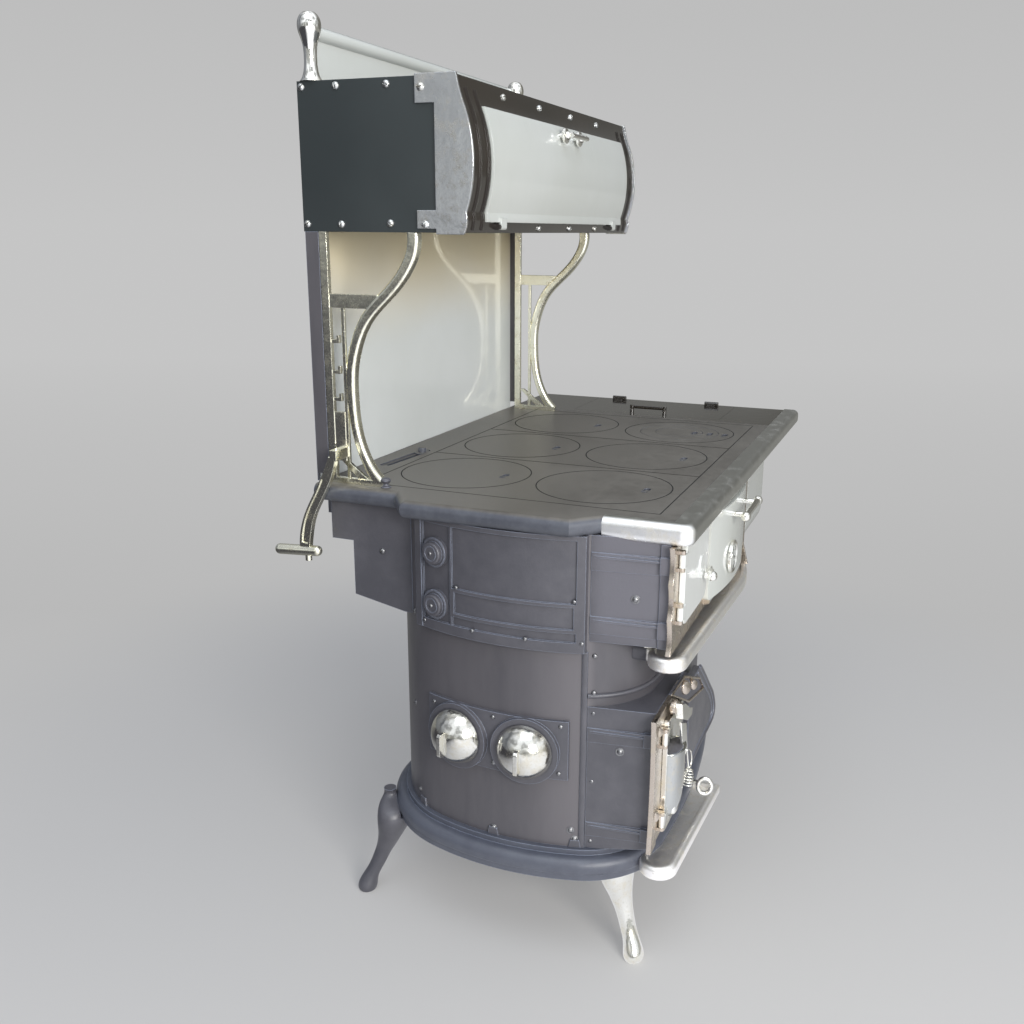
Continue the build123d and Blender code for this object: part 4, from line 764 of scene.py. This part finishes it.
# ---------------------------------------------------------------- shelf and ash section
RING = Vector((-330.0, -378.0, 247.0))
RING_HALF = 12.5, 15.5
RING_BAR = 3.8
ROD_START = RING + Vector((0, 46, 5))
SHAKER_ROD = [(4, 0), (4, 34), (5.5, 35), (5.5, 38), (4, 39)]


def shaker_pull():
    """Grate shaker: a rod through the ash box with a thick pull ring, seen flat from the side."""
    form = Form()
    form.lathe(facing(ROD_START, (0, -1, 0)), SHAKER_ROD, 16)
    place = facing(RING, (-0.96, -0.28, 0))
    path = [place @ Vector((RING_HALF[0] * math.cos(turn), RING_HALF[1] * math.sin(turn), 0))
            for turn in turns(40)]
    form.tube(path, RING_BAR, 12, closed=True)
    made = form.done("shaker_pull_ring", "nickel", "shaker")
    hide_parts("shaker_ring")


def front_outline(points, y):
    """Points drawn as (x, z) on a plane that faces the front."""
    return [Vector((x, y, z)) for x, z in points]


def front_plate(form, points, back, front, bevel=1.0):
    """Flat piece drawn as (x, z), between two depths, with soft front edges."""
    form.plate(facing((0, 0, 0), (0, -1, 0)), points, -back, -front, bevel)


LEAF_EDGE = [(-346, 297), (-315, 299), (-266, 302), (-205, 301), (-163, 304), (-150, 323),
             (-174, 361), (-221, 402), (-274, 447), (-305, 472)]
LEAF_LEFT = -378
LEAF_LOW = 300
LEAF_HIGH = 472
LEAF_BACK = -340
LEAF_FRONT = -352.5
LEAF_BEAD = 3.4
LINE_INSET = 14
LINE_TAPER = 0.04
LINE_BAR = 1.6
LINE_PINCH = 6 / 85
LINE_MIDDLE = 385
KEEPER_EDGE = [(-470, -340, 485), (-403, -346, 491), (-320, -354, 455), (-293, -356, 424),
               (-397, -353, 443)]
KEEPER_THICKNESS = 5
KEEPER_RIM = 2.3
KEEPER_KNOBS = [((-409, -347, 474), 13), ((-370, -352, 464), 10)]
FRAME_BOSS_PLACE = (-474, -346, 466.5)
FRAME_BOSS = [(13, -1), (13, 3), (11, 6.5), (5, 8)]
HINGE_BOSS_PLACES = [(-532, -334, 446), (-532, -334, 290)]
HINGE_BOSS = [(10, -3), (10, 3), (7.5, 7), (2, 8.5)]
FRAME_EAR = [(-556, 474), (-530, 474), (-508, 462), (-508, 410), (-530, 424), (-545, 436)]


def ash_front():
    """Leaf-shaped casting right of the ash door, and the keeper and bosses round the door."""
    edge = [(p.x, p.y) for p in smooth([(x, z, 0) for x, z in LEAF_EDGE])]
    form = Form()
    front_plate(form, [(LEAF_LEFT, LEAF_LOW)] + edge + [(LEAF_LEFT, LEAF_HIGH)],
                LEAF_BACK, LEAF_FRONT, 3)
    form.tube(front_outline(edge, LEAF_FRONT), LEAF_BEAD, 10)
    inner = [(x - LINE_INSET - LINE_TAPER * (x - LEAF_LEFT), z + LINE_PINCH * (LINE_MIDDLE - z))
             for x, z in edge]
    form.tube(front_outline(inner, LEAF_FRONT - 0.3), LINE_BAR, 8)
    form.skin([[Vector((x, y + KEEPER_THICKNESS, z)) for x, y, z in KEEPER_EDGE],
               [Vector(point) for point in KEEPER_EDGE]])
    form.done("leaf_panel", "cast_black")
    form = Form()
    form.tube([Vector((x, y - 1.2, z)) for x, y, z in KEEPER_EDGE], KEEPER_RIM, 8, closed=True)
    for point, radius in KEEPER_KNOBS:
        place = facing(point, (-0.45, -0.9, 0.1))
        form.lathe(place, [(radius, -4), (radius, 3), (0.85 * radius, 7), (0.4 * radius, 9)], 20)
    form.lathe(facing(FRAME_BOSS_PLACE, (-0.2, -0.98, 0)), FRAME_BOSS, 24)
    for point in HINGE_BOSS_PLACES:
        form.lathe(facing(point, (-0.5, -0.86, 0)), HINGE_BOSS, 18)
    front_plate(form, FRAME_EAR, -334, -338)
    form.done("ash_keeper", "strip_nickel")


SCOOP = Vector((-462.0, -344.0, 0.0))
SCOOP_RINGS = [(388, 36, 22), (384, 36, 22), (330, 36, 22), (296, 34, 20), (274, 27, 16),
               (262, 16, 9)]
SCOOP_HOLLOW = [(387, 33, 19), (388.6, 33, 19)]
SCOOP_RIM = 1.8
DOOR_BAND = [(-503, 434), (-478, 427), (-396, 352), (-402, 340), (-459, 372), (-503, 398)]


def half_rounds(levels):
    """Half ellipses round the front of the scoop, from (height, half width, depth)."""
    bends = [math.pi * i / 20 for i in range(21)]
    return [[SCOOP + Vector((-half * math.cos(turn), -depth * math.sin(turn), z))
             for turn in bends] for z, half, depth in levels]


def ash_scoop():
    """Half-round pocket of the ash door with a beaded rim, and the plated band beside it."""
    form = Form()
    rings = half_rounds(SCOOP_RINGS)
    form.skin(rings)
    form.tube(rings[0], SCOOP_RIM, 8)
    front_plate(form, DOOR_BAND, -344, -346.4, 0.8)
    # painted shade: the scoop takes the darker grey copy of the nickel
    form.done("ash_scoop", "shaded_scoop_nickel", "ash_door")
    form = Form()
    form.skin(half_rounds(SCOOP_HOLLOW))
    form.done("scoop_shadow", "cast_black", "ash_door")


LEVER = [(-478, 442), (-440, 424), (-420, 366), (-434, 361), (-466, 402)]
LEVER_HEAD = [(-484, 478), (-460, 470), (-424, 446), (-398, 434), (-402, 422), (-436, 426),
              (-474, 446)]
LOOP = [(-430, 368), (-404, 354), (-388, 334), (-390, 319), (-404, 317), (-416, 338),
        (-430, 368)]
LOOP_WIRE = 1.3
LATCH_Y = -363
COIL_X = -401
COIL_Z = 318
COIL_DRIFT = -11
COIL_DROP = -27
COIL_TURNS = 6
COIL_STEPS = 20 * COIL_TURNS
COIL_RADII = [5.0, 8.0, 9.6, 9.0]
COIL_WIRE = 1.15


def ash_latch():
    """Drop lever, its wire loop and the spring-wound grip."""
    form = Form()
    front_plate(form, LEVER, -358, -362, 1.2)
    front_plate(form, LEVER_HEAD, -351, LATCH_Y, 3)
    form.tube(smooth([(x, LATCH_Y, z) for x, z in LOOP], 5), LOOP_WIRE, 8)
    path = []
    for i in range(COIL_STEPS + 1):
        share = i / COIL_STEPS
        angle = 2 * math.pi * COIL_TURNS * share
        radius = between(COIL_RADII, share)
        path.append(Vector((COIL_X + COIL_DRIFT * share + radius * math.cos(angle),
                            LATCH_Y + radius * math.sin(angle), COIL_Z + COIL_DROP * share)))
    form.tube(path, COIL_WIRE, 6)
    made = form.done("latch_lever", "nickel", "ash_latch")
    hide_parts("ash_latch")


TAB = [(-484, -292), (-474, -320), (-491, -324), (-499, -298)]
SHELF_TOP = 574.5


def shelf_tab():
    """Bright end of the shelf's fixing strap, under the feed casting."""
    form = Form()
    form.plate(Matrix.Translation((0, 0, SHELF_TOP)), TAB, 0, 1.8, 0.5)
    form.done("shelf_tab", "edge_nickel")


def small_work():
    body_fasteners()
    plug_bolts()
    body_trim()
    closet_screws()
    closet_bail()
    thermometer()
    cooktop_knob()
    top_gap_shadows()
    shaker_pull()
    ash_front()
    ash_scoop()
    ash_latch()
    shelf_tab()


# ---------------------------------------------------------------- studio
BACKDROP_LOW = (0.56, 0.56, 0.56)
BACKDROP = [(0.0, BACKDROP_LOW), (0.5, BACKDROP_LOW), (0.535, (0.54, 0.54, 0.54)),
            (0.59, (0.512, 0.512, 0.512)), (1.0, (0.495, 0.495, 0.495))]
ROOM = [(0.0, (0.55, 0.55, 0.56)), (0.49, (0.55, 0.56, 0.55)), (0.54, (0.72, 0.74, 0.74)),
        (0.66, (1.15, 1.19, 1.24)), (1.0, (1.35, 1.40, 1.50))]
ROOM_PATCHES = (0.12, 0.12, 0.105)
ROOM_BEHIND = (0.07, 0.08, 0.11)
ROOM_RIGHT = (0.10, 0.095, 0.08)
LIGHT_FRONT = (0.46, 0.46, 0.46)
LIGHT_BEHIND = (0.12, 0.14, 0.19)
LIGHT_ABOVE = (0.55, 0.59, 0.68)


def studio():
    """The world: a pale backdrop for the camera, a room for metal to mirror, and soft light."""
    world = bpy.data.worlds.new("studio")
    bpy.context.scene.world = world
    world.use_nodes = True
    w = Finish("studio", world=world)
    seen = w.node("ShaderNodeLightPath", output="Is Camera Ray")
    mirrored = seen.other("Is Glossy Ray")
    through = seen.other("Is Transmission Ray")
    direction = w.node("ShaderNodeTexCoord", output="Generated")
    ahead, across, height = w.parts(direction)
    rise = height * 0.5 + 0.5
    shade = w.noise(2.2, 3.0, 0.5, where=direction)
    room = w.mix(w.step(shade, 0.47, 0.60) * 0.7, w.ramp(rise, ROOM), ROOM_PATCHES)
    room = w.mix(w.step(across, 0.25, 0.95) * 0.8, room, ROOM_BEHIND)
    room = w.mix(w.step(ahead, 0.25, 0.85) * 0.85, room, ROOM_RIGHT)
    lights = w.mix(w.step(across, -0.45, 0.6), LIGHT_FRONT, LIGHT_BEHIND)
    lights = w.mix(w.step(height, 0.1, 0.9), lights, LIGHT_ABOVE)
    shown = w.node("ShaderNodeMath", {"operation": "MAXIMUM"}, {0: seen, 1: through})
    colour = w.mix(shown, w.mix(mirrored, lights, room), w.ramp(rise, BACKDROP))
    shader = w.node("ShaderNodeBackground", (), {"Color": colour, "Strength": 1.0})
    w.node("ShaderNodeOutputWorld", (), {"Surface": shader})


FLOOR_TONE = (0.60, 0.585, 0.56, 1.0)
FLOOR_RADIUS = 40.0
VIEW_RISE = 0.0931, 0.03645, 0.214
FLOOR_FAR = [(0.14, (0.600, 0.600, 0.606)), (0.185, (0.545, 0.545, 0.55)),
             (0.25, (0.505, 0.505, 0.507)), (0.32, (0.488, 0.488, 0.488)),
             (0.47, (0.512, 0.512, 0.512)), (0.76, (0.54, 0.54, 0.54)), (1.0, BACKDROP_LOW)]
FLOOR_SUNNY = [(0.0, (1.25, 1.27, 1.34)), (0.5, (0.55, 0.56, 0.60)), (1.0, (0.06, 0.06, 0.07))]
FLOOR_SHADY = (0.30, 0.30, 0.285)


def floor():
    """A wide pale disc that fades into the backdrop, and that metal sees sunny at the front."""
    f = Finish("pale_floor", {"Base Color": FLOOR_TONE, "Roughness": 0.7,
                              "Specular IOR Level": 0.2})
    x, y, _ = f.parts(f.place())
    away = (x * x + y * y) ** 0.5
    fade = f.step(away, 0.8, 1.9) * 0.65 + 0.35
    along = x * VIEW_RISE[0] + y * VIEW_RISE[1] + VIEW_RISE[2]
    mirrored = f.node("ShaderNodeLightPath", output="Is Glossy Ray")
    sunny = f.ramp(f.step(y, -0.7, 1.0), FLOOR_SUNNY)
    sunny = f.mix(f.step(x, -0.8, 0.6), sunny, FLOOR_SHADY)
    far = f.mix(mirrored, f.ramp(along, FLOOR_FAR), sunny)
    glow = f.node("ShaderNodeEmission", (), {"Color": far, "Strength": 1.0})
    mixed = f.node("ShaderNodeMixShader", (), {
        0: fade + mirrored, 1: Value(f, f.shader.outputs[0]), 2: glow})
    f.feed(f.tree.nodes["Material Output"].inputs["Surface"], mixed)
    mesh = bpy.data.meshes.new("floor")
    disc = bmesh.new()
    bmesh.ops.create_circle(disc, cap_ends=True, segments=128, radius=FLOOR_RADIUS)
    disc.to_mesh(mesh)
    disc.free()
    mesh.materials.append(f.material)
    ground = bpy.data.objects.new("floor", mesh)
    bpy.context.collection.objects.link(ground)


LAMP_AIM = Vector((0.0, 0.0, 0.8))


def lamp(name, place, size, power, colour):
    """Soft rectangular lamp aimed at the middle of the stove."""
    data = bpy.data.lights.new(name, "AREA")
    data.shape = "RECTANGLE"
    data.size, data.size_y = size
    data.energy = power
    data.color = colour
    light = bpy.data.objects.new(name, data)
    light.location = place
    light.rotation_euler = (LAMP_AIM - Vector(place)).to_track_quat("-Z", "Y").to_euler()
    bpy.context.collection.objects.link(light)


CAMERA_PLACE = -2016.0, -700.0, 1232.84
CAMERA_YAW = math.radians(21.38)
CAMERA_DOWN = math.radians(15.71)
CAMERA_ROLL = math.radians(0.48)
CAMERA_LENS = 1025.7 / 1024.0
FILM_WIDTH = 36.0
LENS_SHIFT = -0.0235, 0.0055


def camera():
    """The photograph's camera: place, aim and lens as its vanishing points give them."""
    ahead = Vector((math.cos(CAMERA_DOWN) * math.cos(CAMERA_YAW),
                    math.cos(CAMERA_DOWN) * math.sin(CAMERA_YAW), -math.sin(CAMERA_DOWN)))
    level = ahead.cross(Vector((0, 0, 1))).normalized()
    up = level.cross(ahead)
    right = level * math.cos(CAMERA_ROLL) + up * math.sin(CAMERA_ROLL)
    top = up * math.cos(CAMERA_ROLL) - level * math.sin(CAMERA_ROLL)
    data = bpy.data.cameras.new("camera")
    data.sensor_width = FILM_WIDTH
    data.lens = FILM_WIDTH * CAMERA_LENS
    data.shift_x, data.shift_y = LENS_SHIFT
    eye = bpy.data.objects.new("camera", data)
    axes = Matrix((right, top, -ahead)).transposed().to_4x4()
    axes.translation = at(*CAMERA_PLACE)
    eye.matrix_world = axes
    bpy.context.collection.objects.link(eye)
    bpy.context.scene.camera = eye


paint_frame()
small_work()
studio()
floor()
camera()
lamp("key", place=(-3.0, -2.9, 1.9), size=(1.8, 1.6), power=132.0, colour=(1.0, 0.985, 0.955))
lamp("sky", place=(-1.6, -0.6, 3.8), size=(2.6, 2.0), power=34.0, colour=(0.86, 0.93, 1.0))

bpy.context.scene.view_settings.view_transform = "Standard"
